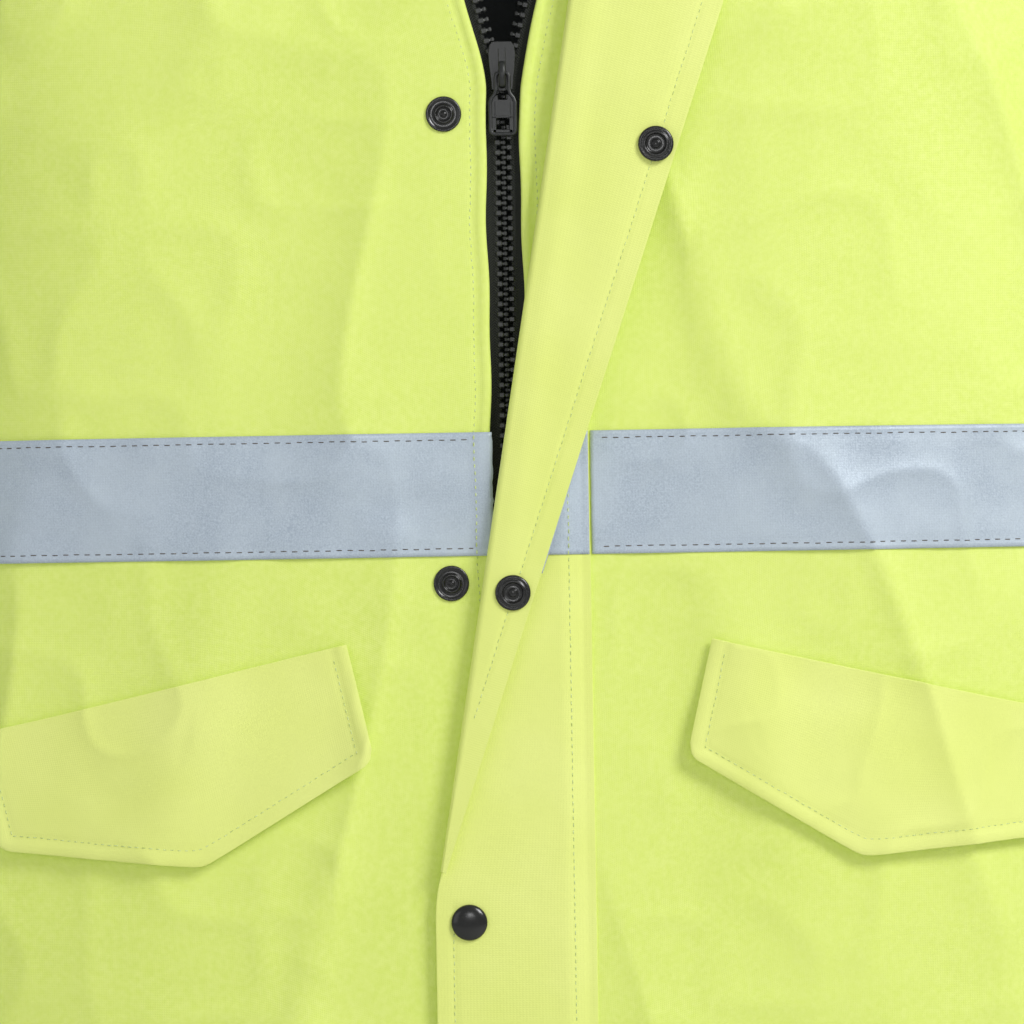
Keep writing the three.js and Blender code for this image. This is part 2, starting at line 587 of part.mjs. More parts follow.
// Press studs: a stud riveted through the right front, and a socket and cap riveted through the flap.
const studProfile = [[0, 1.3], [5.5, 1.3], [5.5, 2.2], [POST_RADIUS, 2.2], [POST_RADIUS, 4.8], [SNAP_RADIUS, 4.8],
  [SNAP_RADIUS, 5.5], [6.2, 6.1], [3.3, 6.1], [3.3, 5.3], [0, 5.3]];
function socketProfile(inner) {
  const outer = inner + FLAP_CLOTH;
  return [[0, inner - 0.9], [4.1, inner - 0.9], [4.1, inner - 1.6], [6.2, inner - 1.6], [6.9, inner - 1.2],
    [6.9, inner - 0.3], [POST_RADIUS, inner - 0.3], [POST_RADIUS, outer + 0.3], [7.3, outer + 0.3],
    [6.4, outer + 1.1], [4, outer + 1.6], [0, outer + 1.7]];
}
SNAPS.forEach(({ x, z }, i) => {
  add(`snap_stud_${i + 1}`, turned(x, z, studProfile), BLACK_PLASTIC);
  const onFold = i < SNAPS_ON_FOLD;
  const socket = turned(x, z, socketProfile(onFold ? CLOSED_INNER : FLAP_INNER));
  add(`snap_cap_${i + 1}`, onFold ? foldedBack(socket) : socket, BLACK_PLASTIC);
});

// Reflective tape round the chest, level with the tape across the flap.
function chestBand(side, edge) {
  const panel = frontPanel(side, edge);
  return (u, v) => {
    const point = panel(u, 0);
    return point.setZ(mix(TAPE_LOW, TAPE_HIGH, v));
  };
}
add("right_chest_tape", cloth(chestBand(-1, EDGE_HALF), FRONT_U, [0, 1], 0.3, 0.9, -1), REFLECTIVE);
add("left_chest_tape", cloth(chestBand(1, FLAP_SEAM + 1), FRONT_U, [0, 1], 0.3, 0.9), REFLECTIVE);
const backBand = (u, v) => backPanel(u, 0).setZ(mix(TAPE_LOW, TAPE_HIGH, v));
add("back_chest_tape", cloth(backBand, BACK_U, [0, 1], 0.3, 0.9), REFLECTIVE);

// The group's origin is the underside of the hanging loop's peak.
jacket.position.set(0, -(LOOP_Y + LOOP_WIDTH / 2), -(LOOP_FOOT + LOOP_RISE - LOOP_STRAP));

export default root;
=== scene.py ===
"""Foul weather jacket: fluorescent coated cloth, a moulded zip under a folding storm flap, press studs and
reflective tape. Metres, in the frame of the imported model: the origin is at the hanging loop's peak."""
import math

import bpy
import numpy as np
from mathutils import Matrix, Vector


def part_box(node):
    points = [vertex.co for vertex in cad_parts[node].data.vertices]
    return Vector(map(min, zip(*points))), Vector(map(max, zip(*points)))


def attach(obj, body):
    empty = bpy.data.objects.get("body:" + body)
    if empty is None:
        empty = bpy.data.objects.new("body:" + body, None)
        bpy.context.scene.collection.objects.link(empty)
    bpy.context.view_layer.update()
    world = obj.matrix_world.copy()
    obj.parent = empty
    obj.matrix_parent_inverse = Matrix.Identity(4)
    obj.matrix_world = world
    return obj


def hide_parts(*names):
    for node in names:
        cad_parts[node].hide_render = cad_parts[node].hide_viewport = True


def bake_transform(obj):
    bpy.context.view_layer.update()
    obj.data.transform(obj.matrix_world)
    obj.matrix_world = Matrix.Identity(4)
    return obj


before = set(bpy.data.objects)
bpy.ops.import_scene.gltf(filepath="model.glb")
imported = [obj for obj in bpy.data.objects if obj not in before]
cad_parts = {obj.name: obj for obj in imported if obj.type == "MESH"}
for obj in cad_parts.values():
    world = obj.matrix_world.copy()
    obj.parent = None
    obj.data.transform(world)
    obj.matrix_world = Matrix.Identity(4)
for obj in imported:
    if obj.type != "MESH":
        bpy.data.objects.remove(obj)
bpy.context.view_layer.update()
FINE = 1.1

# ---------------------------------------------------------------------------------------------------------
# The view and the studio: the front of the jacket close up, from straight ahead, with a large soft light on
# the upper right, a weaker one on the left, a low one for the pleats, and a pale floor under the hem.
# ---------------------------------------------------------------------------------------------------------
HEM_Z = float(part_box("back_panel")[0][2])
FRONT_Y = float(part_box("left_front_panel")[0][1])
CHEST_HALF = float(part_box("back_panel")[1][0])
VIEW_WIDTH = 0.4146
VIEW_DISTANCE = 2.0
VIEW_CENTRE = Vector((0.001, FRONT_Y, HEM_Z + 0.4365))
VIEW_ROLL = math.radians(0.98)
FLOOR_DROP = 0.22
ZIP_Y = FRONT_Y + 0.0045


def aimed(place, target, roll=0.0):
    """World matrix at place whose -Z axis points at target, its up side leaning to +X by roll."""
    turn = (target - place).to_track_quat("-Z", "Y").to_matrix().to_4x4()
    return Matrix.Translation(place) @ turn @ Matrix.Rotation(-roll, 4, "Z")


camera_data = bpy.data.cameras.new("camera")
camera_data.sensor_width = 36.0
camera_data.lens = 36.0 * VIEW_DISTANCE / VIEW_WIDTH
camera_data.clip_start = 0.05
camera = bpy.data.objects.new("camera", camera_data)
bpy.context.collection.objects.link(camera)
camera.matrix_world = aimed(VIEW_CENTRE - Vector((0, VIEW_DISTANCE, 0)), VIEW_CENTRE, VIEW_ROLL)
bpy.context.scene.camera = camera


def soft_light(name, place, size, watts):
    """A square area light of one size in metres, aimed at the chest."""
    lamp = bpy.data.lights.new(name, "AREA")
    lamp.size = size
    lamp.energy = watts
    lit = bpy.data.objects.new(name, lamp)
    bpy.context.collection.objects.link(lit)
    lit.matrix_world = aimed(Vector(place), Vector((0, 0, HEM_Z + 0.45)))


soft_light("key_light", (1.35, -1.5, 0.85), 0.8, 33)
soft_light("fill_light", (-1.9, -1.9, 0.1), 1.6, 6)
soft_light("lens_light", (0.05, -2.3, -0.1), 0.35, 3.0)
soft_light("back_light", (0.4, 2.2, 0.9), 1.6, 20)
world = bpy.data.worlds.new("studio")
world.use_nodes = True
world.node_tree.nodes["Background"].inputs["Color"].default_value = (0.93, 0.95, 1.0, 1)
world.node_tree.nodes["Background"].inputs["Strength"].default_value = 0.40
bpy.context.scene.world = world
bpy.context.scene.view_settings.view_transform = "Standard"


class Wire:
    """An output socket in a node tree: + - * / on it add Math nodes, and node() adds any other node."""

    def __init__(self, tree, socket):
        self.tree = tree
        self.socket = socket

    def node(self, kind, settings=None, inputs=None, out=0):
        """A node of a kind: its settings first (stops fills a ramp), then the values or links of its
        sockets."""
        made = self.tree.nodes.new("ShaderNode" + kind)
        for key, value in (settings or {}).items():
            if key == "stops":
                ramp = made.color_ramp.elements
                while len(ramp) < len(value):
                    ramp.new(0.5)
                for stop, (place, colour) in zip(ramp, value):
                    stop.position = place
                    stop.color = colour
            else:
                setattr(made, key, value)
        for key, value in (inputs or {}).items():
            socket = made.inputs[key]
            if isinstance(value, Wire):
                self.tree.links.new(value.socket, socket)
            else:
                socket.default_value = value
        return Wire(self.tree, made.outputs[out])

    def maths(self, operation, first, second=0.0, third=0.0):
        return self.node("Math", {"operation": operation}, {0: first, 1: second, 2: third})

    def __add__(self, other):
        return self.maths("ADD", self, other)

    def __sub__(self, other):
        return self.maths("SUBTRACT", self, other)

    def __mul__(self, other):
        return self.maths("MULTIPLY", self, other)

    def __rsub__(self, other):
        return self.maths("SUBTRACT", other, self)

    __radd__ = __add__
    __rmul__ = __mul__

    def between(self, low, high):
        """0 below low, 1 above high, and a straight rise from one to the other."""
        return self.node("MapRange", None, {"Value": self, "From Min": low, "From Max": high})

    def mixed(self, first, second):
        """The colour first where this is 0 and second where it is 1."""
        return self.node("Mix", {"data_type": "RGBA"}, {0: self, 6: first, 7: second}, out=2)

    def bump(self, strength, distance, under=None):
        """A Bump node that raises this height by up to distance metres."""
        given = {"Height": self, "Strength": strength, "Distance": distance}
        if under is not None:
            given["Normal"] = under
        return self.node("Bump", None, given)


def new_material(name, **fixed):
    """A material with a Principled shader whose sockets named in fixed (spaces as _) have one value all over.
    Returns the material, a Wire of Object coordinates and a function that links a Wire to a socket."""
    material = bpy.data.materials.new(name)
    material.use_nodes = True
    tree = material.node_tree
    shader = tree.nodes["Principled BSDF"]
    for key, value in fixed.items():
        shader.inputs[key.replace("_", " ")].default_value = value
    place = Wire(tree, tree.nodes.new("ShaderNodeTexCoord").outputs["Object"])

    def feed(socket, wire):
        tree.links.new(wire.socket, shader.inputs[socket])

    return material, place, feed


def linear(red, green, blue):
    """Display colour values from 0 to 255 as a linear colour with alpha 1."""
    parts = [((c / 255 + 0.055) / 1.055) ** 2.4 if c > 10 else c / 255 / 12.92 for c in (red, green, blue)]
    return (*parts, 1.0)


FLOOR_HALF = 3.0
floor_mesh = bpy.data.meshes.new("floor")
floor_z = HEM_Z - FLOOR_DROP
corners = [(x, y, floor_z) for x, y in ((-1, -1), (1, -1), (1, 1), (-1, 1))]
floor_mesh.from_pydata([(x * FLOOR_HALF, y * FLOOR_HALF, z) for x, y, z in corners], [], [(0, 1, 2, 3)])
floor = bpy.data.objects.new("floor", floor_mesh)
bpy.context.collection.objects.link(floor)
floor_material, place, feed = new_material("floor_paint", Roughness=0.7)
cloudy = place.node("TexNoise", None, {"Vector": place, "Scale": 3.0, "Detail": 3.0})
feed("Base Color", cloudy.between(0.3, 0.7).mixed((0.78, 0.78, 0.77, 1), (0.82, 0.82, 0.81, 1)))
floor_mesh.materials.append(floor_material)

# ---------------------------------------------------------------------------------------------------------
# The body of the jacket: two fronts and a back of polyester cloth with a fluorescent coating. Each front is
# turned in along the zip as a facing. The panels are cut flat, sewn together at the sides and shoulders, and
# keep the soft dents and drag lines of a garment that is filled out by its own stiffness.
# ---------------------------------------------------------------------------------------------------------
CHEST_DEPTH = 0.112
BACK_DEPTH = 0.108
NECK_HALF = 0.078
NECK_DEPTH = 0.062
SHOULDER_START = 0.560
NECK_BACK = 0.790
NECK_FRONT = 0.700
FLAT_HALF = 0.075
FLAT_SHARE = 0.25
ROUNDNESS = 2.8
EDGE_HALF = 0.0069
SNAPS = [(-0.024, 0.598), (-0.024, 0.408), (-0.019, 0.271), (-0.019, 0.140), (-0.019, 0.030)]
OPEN_START = 0.606
OPEN_SLOPE = 0.28
BODY_Y = FRONT_Y + CHEST_DEPTH
CLOTH = 0.0009


def smooth(low, high, value):
    """Rises from 0 at low to 1 at high with level ends: 3t^2 - 2t^3."""
    t = np.clip((value - low) / (high - low), 0, 1)
    return t * t * (3 - 2 * t)


def mix(first, second, share):
    return first + (second - first) * share


def parting(z):
    """How far each front stands off the middle at height z over the hem: slope * a^2 / (a + 12 mm) above
    the slider."""
    above = np.maximum(0, z - OPEN_START)
    return OPEN_SLOPE * above * above / (above + 0.012)


def half_width(z):
    """Half the body's width: full to the armpit, then (1 - t^4)^0.74 down to the neck."""
    t = np.clip((z - SHOULDER_START) / (NECK_BACK - SHOULDER_START), 0, 1)
    return NECK_HALF + (CHEST_HALF - NECK_HALF) * (1 - t**4) ** 0.74


def front_depth(z):
    return mix(CHEST_DEPTH, NECK_DEPTH, smooth(0.640, 0.800, z))


def back_depth(z):
    return mix(BACK_DEPTH, NECK_DEPTH, smooth(0.580, 0.800, z))


def flat_half(z):
    return mix(FLAT_HALF, 0.046, smooth(0.640, 0.780, z))


def section(u, z):
    """The body's outline at height z over the hem. u is 0 at the front middle, 1 at the wearer's left side,
    2 at the back middle and 3 at the right side: a straight run, then a quarter of a superellipse."""
    u, z = np.broadcast_arrays(np.asarray(u, float), np.asarray(z, float))
    side = np.where(u < 2, 1.0, -1.0)
    s = np.where(u < 2, u, 4 - u)
    run = np.where(s < 1, s, 2 - s)
    depth = np.where(s < 1, -front_depth(z), back_depth(z))
    angle = np.clip((run - FLAT_SHARE) / (1 - FLAT_SHARE), 0, 1) * (np.pi / 2)
    flat = flat_half(z)
    curve = flat + (half_width(z) - flat) * np.sin(angle) ** (2 / ROUNDNESS)
    x = np.where(run < FLAT_SHARE, flat * run / FLAT_SHARE, curve)
    y = depth * np.abs(np.cos(angle)) ** (2 / ROUNDNESS)
    return np.stack([side * x, BODY_Y + y, HEM_Z + z], axis=-1)


def run_at(x, z):
    """The u of section() on the front at a distance x from the middle (negative on the wearer's right)."""
    flat = flat_half(z)
    reach = np.abs(x)
    t = np.clip((reach - flat) / (half_width(z) - flat), 0, 1)
    s = np.where(reach < flat, FLAT_SHARE * reach / flat,
                 FLAT_SHARE + (1 - FLAT_SHARE) * np.arcsin(t ** (ROUNDNESS / 2)) * 2 / np.pi)
    return np.where(x < 0, 4 - s, s)


NECK_CENTRE = (NECK_DEPTH - float(front_depth(NECK_FRONT))) / 2


def neck_seam(u):
    """Height of the neck seam at u: where section() meets an upright ellipse, found by halving."""
    low = np.full(np.shape(u), NECK_FRONT - 0.04)
    high = np.full(np.shape(u), NECK_BACK)
    for _ in range(24):
        middle = (low + high) / 2
        point = section(u, middle)
        reach = np.hypot(point[..., 0] / (NECK_HALF + 0.002),
                         (point[..., 1] - BODY_Y - NECK_CENTRE) / (NECK_DEPTH - NECK_CENTRE))
        low = np.where(reach > 1, middle, low)
        high = np.where(reach > 1, high, middle)
    return (low + high) / 2


def lattice_noise(points, scale, seed):
    """Smooth noise from -1 to 1: random values on a lattice of cells of size scale, blended with smooth()."""
    table = np.random.default_rng(seed).uniform(-1, 1, (32, 32, 32))
    place = points / scale + 16.37
    cell = np.floor(place).astype(int)
    share = place - cell
    share = share * share * (3 - 2 * share)
    total = np.zeros(points.shape[:-1])
    for corner in np.ndindex(2, 2, 2):
        weight = np.ones(points.shape[:-1])
        for axis in range(3):
            weight = weight * (share[..., axis] if corner[axis] else 1 - share[..., axis])
        index = [(cell[..., axis] + corner[axis]) % 32 for axis in range(3)]
        total = total + weight * table[index[0], index[1], index[2]]
    return total


def creases(points, scale, seed):
    """Sharp-topped folds from 0 to 1 where lattice noise passes through zero: (1 - |noise|)^4."""
    return (1 - np.abs(lattice_noise(points, scale, seed))) ** 4


def cloth_lift(points):
    """How far the body's cloth stands off its plain surface: broad dents, drag lines that run down and
    outwards from the shoulders, short folds, and hardly anything within a hand's width of the zip."""
    z = points[..., 2] - HEM_Z
    away = smooth(0.020, 0.085, np.abs(points[..., 0])) * 0.85 + 0.15
    away = np.where(points[..., 1] > BODY_Y, 1.0, away)
    skewed = points * np.array([1.0, 1.0, 0.55]) + np.stack([points[..., 2] * 0.25 * np.sign(points[..., 0]),
                                                            0 * z, 0 * z], axis=-1)
    broad = 0.0042 * lattice_noise(skewed, 0.085, 3)
    drag = 0.0044 * (creases(skewed * np.array([1.6, 1.0, 0.7]), 0.075, 5) - 0.35)
    short = 0.0013 * (creases(points, 0.036, 8) - 0.3)
    fine = 0.00025 * lattice_noise(points, 0.013, 9)
    level = smooth(0.0, 0.05, z) * 0.8 + 0.2
    studs = np.ones_like(z)
    for x_stud, z_stud in SNAPS:
        gap = np.hypot(points[..., 0] - x_stud, z - z_stud) + (points[..., 1] > BODY_Y)
        studs = studs * (1 - 0.9 * np.exp(-((gap / 0.013) ** 2)))
    pulled = np.exp(-(((points[..., 2] - HEM_Z - 0.435) / 0.05) ** 2
                      + ((points[..., 0] + 0.046) / 0.030) ** 2))
    pucker = (0.0011 * pulled * (points[..., 1] < BODY_Y)
              * lattice_noise(points * np.array([1.0, 1.0, 1.6]), 0.020, 12))
    return (away * level * (broad + drag + short) + fine * (0.4 + 0.6 * away) + pucker) * studs


def outward(place, u, v):
    """Unit normals of place(u, v) from differences: the direction of d/du x d/dv."""
    small = 1e-4
    along = place(u + small, v) - place(u - small, v)
    up = place(u, v + small) - place(u, v - small)
    normal = np.cross(along, up)
    return normal / np.maximum(np.linalg.norm(normal, axis=-1, keepdims=True), 1e-12)


def shell(u, z, lift=0.0):
    """The outside of the body's cloth at section parameter u and height z, moved out by lift."""
    u, z = np.broadcast_arrays(np.asarray(u, float), np.asarray(z, float))
    plain = section(u, z)
    normal = outward(section, u, z)
    return plain + normal * (cloth_lift(plain) + lift)[..., None]


def front(x, z, lift=0.0):
    """The outside of a front panel at x from the middle and height z over the hem, moved out by lift."""
    x, z = np.broadcast_arrays(np.asarray(x, float), np.asarray(z, float))
    return shell(run_at(x, z), z, lift)


def grid_mesh(name, points, materials, round_u=False, round_v=False, uv=None, smooth_faces=True):
    """An object whose mesh has one vertex for each entry of points[row, column] and quads between
    neighbours. round_u joins the last column to the first and round_v the last row to the first. uv is
    metres of cloth."""
    rows, columns = points.shape[:2]
    row = np.arange(rows if round_v else rows - 1)
    column = np.arange(columns if round_u else columns - 1)
    i, j = np.meshgrid(row, column, indexing="ij")
    i2, j2 = (i + 1) % rows, (j + 1) % columns
    quads = np.stack([i * columns + j, i * columns + j2, i2 * columns + j2, i2 * columns + j], axis=-1)
    quads = quads.reshape(-1, 4)
    mesh = mesh_of(name, points.reshape(-1, 3), quads, smooth_faces)
    if uv is None:
        du = np.linalg.norm(np.diff(points, axis=1), axis=-1).mean(axis=0)
        dv = np.linalg.norm(np.diff(points, axis=0), axis=-1).mean(axis=1)
        across = np.concatenate([[0], np.cumsum(du)])
        along = np.concatenate([[0], np.cumsum(dv)])
        uv = np.stack(np.broadcast_arrays(across[None, :], along[:, None]), axis=-1)
    layer = mesh.uv_layers.new(name="cloth")
    layer.data.foreach_set("uv", uv.reshape(-1, 2)[quads.reshape(-1)].astype(np.float32).reshape(-1))
    return finished(name, mesh, materials)


def mesh_of(name, points, faces, smooth_faces=True):
    """A mesh from an array of points and an array of faces with the same number of corners each."""
    corners_each = faces.shape[1]
    mesh = bpy.data.meshes.new(name)
    mesh.vertices.add(len(points))
    mesh.vertices.foreach_set("co", np.asarray(points, np.float32).reshape(-1))
    mesh.loops.add(faces.size)
    mesh.loops.foreach_set("vertex_index", faces.reshape(-1).astype(np.int32))
    mesh.polygons.add(len(faces))
    mesh.polygons.foreach_set("loop_start", np.arange(0, faces.size, corners_each, dtype=np.int32))
    mesh.polygons.foreach_set("loop_total", np.full(len(faces), corners_each, dtype=np.int32))
    mesh.polygons.foreach_set("use_smooth", np.full(len(faces), smooth_faces))
    mesh.update(calc_edges=True)
    return mesh


def finished(name, mesh, materials):
    """An object for a mesh, with its materials, at the origin."""
    made = bpy.data.objects.new(name, mesh)
    bpy.context.collection.objects.link(made)
    for material in materials if isinstance(materials, (list, tuple)) else [materials]:
        mesh.materials.append(material)
    return made


def thickened(made, depth, offset=-1.0, rim=True):
    """Gives a sheet its thickness with a live Solidify modifier; offset -1 puts it inside the surface."""
    solid = made.modifiers.new("thickness", "SOLIDIFY")
    solid.thickness = depth
    solid.offset = offset
    solid.use_rim = rim
    return made


def declare(made, width, length, held="hung", **more):
    return made


def piece(made, body, slot, *nodes):
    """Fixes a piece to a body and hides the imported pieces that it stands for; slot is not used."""
    if body:
        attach(made, body)
    if nodes:
        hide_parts(*nodes)
    return made


def coated_cloth():
    """Fluorescent coated polyester: a fine plain weave under a soft coating, a little unevenness of dye,
    and a painted glow, a uniform emission that keeps the shadows yellow-green though the cloth is no lamp."""
    # The emission below is a painted glow: it lights the cloth's own shadows yellow-green.
    material, place, feed = new_material("fluorescent_cloth", Specular_IOR_Level=0.32, Sheen_Weight=0.15,
                                         Sheen_Roughness=0.5, Emission_Color=(0.55, 0.80, 0.0, 1),
                                         Emission_Strength=0.085)
    uv = place.node("UVMap", {"uv_map": "cloth"})
    threads = [uv.node("TexWave", {"bands_direction": way}, {"Vector": uv, "Scale": 340.0}) for way in "XY"]
    weave = threads[0] * threads[1]
    mottle = place.node("TexNoise", None, {"Vector": place, "Scale": 14.0, "Detail": 5.0})
    grain = place.node("TexNoise", None, {"Vector": place, "Scale": 420.0, "Detail": 3.0})
    tone = mottle.between(0.3, 0.7).mixed(linear(211, 226, 112), linear(217, 230, 121))
    feed("Base Color", grain.between(0.3, 0.75).mixed(tone, linear(221, 233, 131)))
    feed("Roughness", 0.46 + mottle * 0.16)
    rippled = place.node("TexNoise", None, {"Vector": place, "Scale": 60.0, "Detail": 4.0})
    feed("Normal", weave.bump(0.3, 0.00012, grain.bump(0.2, 0.0001, rippled.bump(0.16, 0.0005))))
    return material


def lining_cloth():
    """Thin charcoal taffeta with a fine weave and a soft sheen."""
    material, place, feed = new_material("lining_cloth", Specular_IOR_Level=0.4, Sheen_Weight=0.3)
    cloud = place.node("TexNoise", None, {"Vector": place, "Scale": 25.0, "Detail": 4.0})
    uv = place.node("UVMap", {"uv_map": "cloth"})
    threads = [uv.node("TexWave", {"bands_direction": way}, {"Vector": uv, "Scale": 500.0}) for way in "XY"]
    feed("Base Color", cloud.between(0.3, 0.7).mixed((0.016, 0.019, 0.023, 1), (0.030, 0.034, 0.040, 1)))
    feed("Roughness", 0.50 + cloud * 0.15)
    feed("Normal", (threads[0] * threads[1]).bump(0.3, 0.0001, cloud.bump(0.4, 0.002)))
    return material


YELLOW = coated_cloth()
LINING = lining_cloth()
EDGE_TURN = 0.0013
FACING = 0.013
EDGE_STITCH = 0.0052


def edge_x(z, side):
    """Where a front's folded edge stands at height z, with the slight waver of a sewn edge."""
    waver = 0.0004 * np.sin(z * 61 + side) + 0.0003 * np.sin(z * 143 + 2 * side)
    return EDGE_HALF + waver + parting(z)


def front_panel(name, side):
    """A front from the side seam to the folded edge, round it on a half circle of radius EDGE_TURN and back
    behind as the facing. The coat is pulled down by 0.4 mm along the edge's row of stitches."""
    rows = np.linspace(0, 1, int(230 * FINE))
    body = np.linspace(1, 0, int(120 * FINE)) ** 1.15
    start = edge_x(rows * NECK_FRONT, side)[:, None] + EDGE_TURN
    u_edge = run_at(start, rows[:, None] * NECK_FRONT)
    u = u_edge + (1 - u_edge) * body[None, :]
    z = neck_seam(u) * rows[:, None]
    plain = section(u, z)
    x = np.abs(plain[..., 0])
    groove = 0.00045 * np.exp(-(((x - start + EDGE_TURN - EDGE_STITCH) / 0.0011) ** 2))
    roll = 0.0006 * np.exp(-(((x - start + EDGE_TURN - 0.0022) / 0.0018) ** 2))
    outer = shell(u, z, roll - groove)
    edge_point = outer[:, -1:, :]
    turn = np.linspace(0, np.pi, 9)[1:]
    hook = edge_point - np.sin(turn)[None, :, None] * np.array([EDGE_TURN, 0, 0])
    hook = hook + (1 - np.cos(turn))[None, :, None] * np.array([0, EDGE_TURN, 0])
    tail = hook[:, -1:, :] + np.linspace(0, FACING, 8)[1:][None, :, None] * np.array([1.0, 0, 0])
    points = np.concatenate([outer, hook, tail], axis=1)
    if side < 0:
        points = points * np.array([-1.0, 1, 1])
        mirrored = shell(4 - u, z, roll - groove)
        shift = mirrored[:, -1:, :] - points[:, u.shape[1] - 1:u.shape[1], :]
        points = np.concatenate([mirrored, points[:, u.shape[1]:, :] + shift], axis=1)
    else:
        points = points[:, ::-1]
    made = grid_mesh(name, points, YELLOW)
    return made


SHOULDER_POINT = np.array([0.222, 0.738])
SHOULDER_CORNER = np.array([0.385, 0.652])
ARMHOLE_LOW = np.array([0.2619, 0.528])
ARMPIT = np.array([0.270, 0.524])
ARMHOLE_OUT = np.array([0.988, 0.156])


def without_armhole(points, depth=0.006):
    """Mask of the grid's quads that stay: those not wholly beyond the armhole line by more than depth."""
    x, z = np.abs(points[..., 0]), points[..., 2] - HEM_Z
    beyond = (x - ARMHOLE_LOW[0]) * ARMHOLE_OUT[0] + (z - ARMHOLE_LOW[1]) * ARMHOLE_OUT[1] > depth
    inside = beyond & (z > ARMHOLE_LOW[1] + 0.004) & (z < SHOULDER_POINT[1] - 0.012)
    quads = inside[:-1, :-1] & inside[1:, :-1] & inside[:-1, 1:] & inside[1:, 1:]
    return ~quads.reshape(-1)


POCKET_TILT = math.radians(13)
POCKET_CORNER_Z = 0.387
POCKET_X = {"right": 0.0675, "left": 0.0815}
MOUTH = (0.080, 0.016)
MOUTH_HALF = (0.066, 0.0055)


def without_mouth(points, side_name):
    """Mask of the grid's quads that stay: those not wholly inside the pocket's slot."""
    aside, below = np.abs(points[..., 0]) - POCKET_X[side_name], POCKET_CORNER_Z - points[..., 2] + HEM_Z
    out = aside * math.cos(POCKET_TILT) + below * math.sin(POCKET_TILT)
    down = below * math.cos(POCKET_TILT) - aside * math.sin(POCKET_TILT)
    inside = ((np.abs(out - MOUTH[0]) < MOUTH_HALF[0] + 0.003)
              & (np.abs(down - MOUTH[1]) < MOUTH_HALF[1] + 0.003))
    inside = inside & (points[..., 1] < FRONT_Y + 0.05)
    return ~(inside[:-1, :-1] & inside[1:, :-1] & inside[:-1, 1:] & inside[1:, 1:]).reshape(-1)


def keep_faces(made, mask):
    """Deletes the faces of a grid mesh where mask is False, with the vertices that no face uses any more."""
    mesh = made.data
    faces = np.zeros(len(mesh.polygons) * 4, np.int32)
    mesh.polygons.foreach_get("vertices", faces)
    points = np.zeros(len(mesh.vertices) * 3, np.float32)
    mesh.vertices.foreach_get("co", points)
    uv = np.zeros(len(mesh.loops) * 2, np.float32)
    mesh.uv_layers["cloth"].data.foreach_get("uv", uv)
    faces = faces.reshape(-1, 4)[mask]
    used, faces = np.unique(faces, return_inverse=True)
    kept = mesh_of(mesh.name, points.reshape(-1, 3)[used], faces.reshape(-1, 4))
    layer = kept.uv_layers.new(name="cloth")
    layer.data.foreach_set("uv", uv.reshape(-1, 8)[mask].reshape(-1))
    for material in mesh.materials:
        kept.materials.append(material)
    made.data = kept
    bpy.data.meshes.remove(mesh)


for side_name, side in (("left", 1), ("right", -1)):
    panel = front_panel("front_" + side_name, side)
    grid_shape = (int(230 * FINE), int(120 * FINE) + 15)
    flat_points = np.zeros(len(panel.data.vertices) * 3, np.float32)
    panel.data.vertices.foreach_get("co", flat_points)
    flat_points = flat_points.reshape(*grid_shape, 3)
    keep_faces(panel, without_armhole(flat_points) & without_mouth(flat_points, side_name))
    piece(thickened(panel, CLOTH), "root", "fluorescent_cloth", side_name + "_front_panel")
    declare(panel, 0.36, 0.82)

back_rows = np.linspace(0, 1, int(170 * FINE))[:, None]
back_u = np.linspace(1, 3, int(200 * FINE))[None, :]
back_points = shell(back_u, neck_seam(back_u) * back_rows)
back = grid_mesh("back", back_points, YELLOW)
keep_faces(back, without_armhole(back_points))
piece(thickened(back, CLOTH), "root", "fluorescent_cloth", "back_panel")
declare(back, 0.72, 0.84)

# ---------------------------------------------------------------------------------------------------------
# Sleeves: two set-in tubes of the same cloth that hang nearly straight, each seamed to the body round the
# armhole, with a turned cuff, a band of reflective tape round the forearm and a thin lining.
# ---------------------------------------------------------------------------------------------------------
SLEEVE_WIDTH = 0.148
CUFF_WIDTH = 0.110
SLEEVE_LEAN = math.radians(17)
CUFF_LEAN = math.radians(8)
LOWER_LENGTH = 0.390
CAP_SHARE = 0.35
SEAM_ZONE = 0.13


def sleeve_edges(v):
    """The sleeve's inner and outer edge seen from the front at v, from 0 at the armhole to 1 at the cuff."""
    v = np.asarray(v)[..., None]
    t = np.clip(v / CAP_SHARE, 0, 1)
    cap_outer = ARMPIT + SLEEVE_WIDTH * np.array([math.cos(SLEEVE_LEAN), math.sin(SLEEVE_LEAN)])
    outer = SHOULDER_POINT * (1 - t) ** 2 + SHOULDER_CORNER * 2 * t * (1 - t) + cap_outer * t * t
    inner = mix(ARMHOLE_LOW, ARMPIT, t)
    low = np.clip((v - CAP_SHARE) / (1 - CAP_SHARE), 0, 1)
    lean = mix(SLEEVE_LEAN, CUFF_LEAN, low[..., 0])
    path = mix(SLEEVE_LEAN, CUFF_LEAN, low[..., 0] / 2)
    low_outer = cap_outer + LOWER_LENGTH * low * np.stack([np.sin(path), -np.cos(path)], axis=-1)
    width = mix(SLEEVE_WIDTH, CUFF_WIDTH, low)
    low_inner = low_outer - width * np.stack([np.cos(lean), np.sin(lean)], axis=-1)
    return np.where(v <= CAP_SHARE, inner, low_inner), np.where(v <= CAP_SHARE, outer, low_outer)


def armhole(u, side):
    """The armhole curve on the body: the point of section() at the ring's place on the armhole line."""
    height = np.cos(2 * np.pi * u) / 2 + 0.5
    line = ARMHOLE_LOW + (SHOULDER_POINT - ARMHOLE_LOW) * height[..., None]
    s = run_at(line[..., 0], line[..., 1])
    s = np.where(np.sin(2 * np.pi * u) > 0, 2 - s, s)
    return shell(s if side > 0 else 4 - s, line[..., 1])


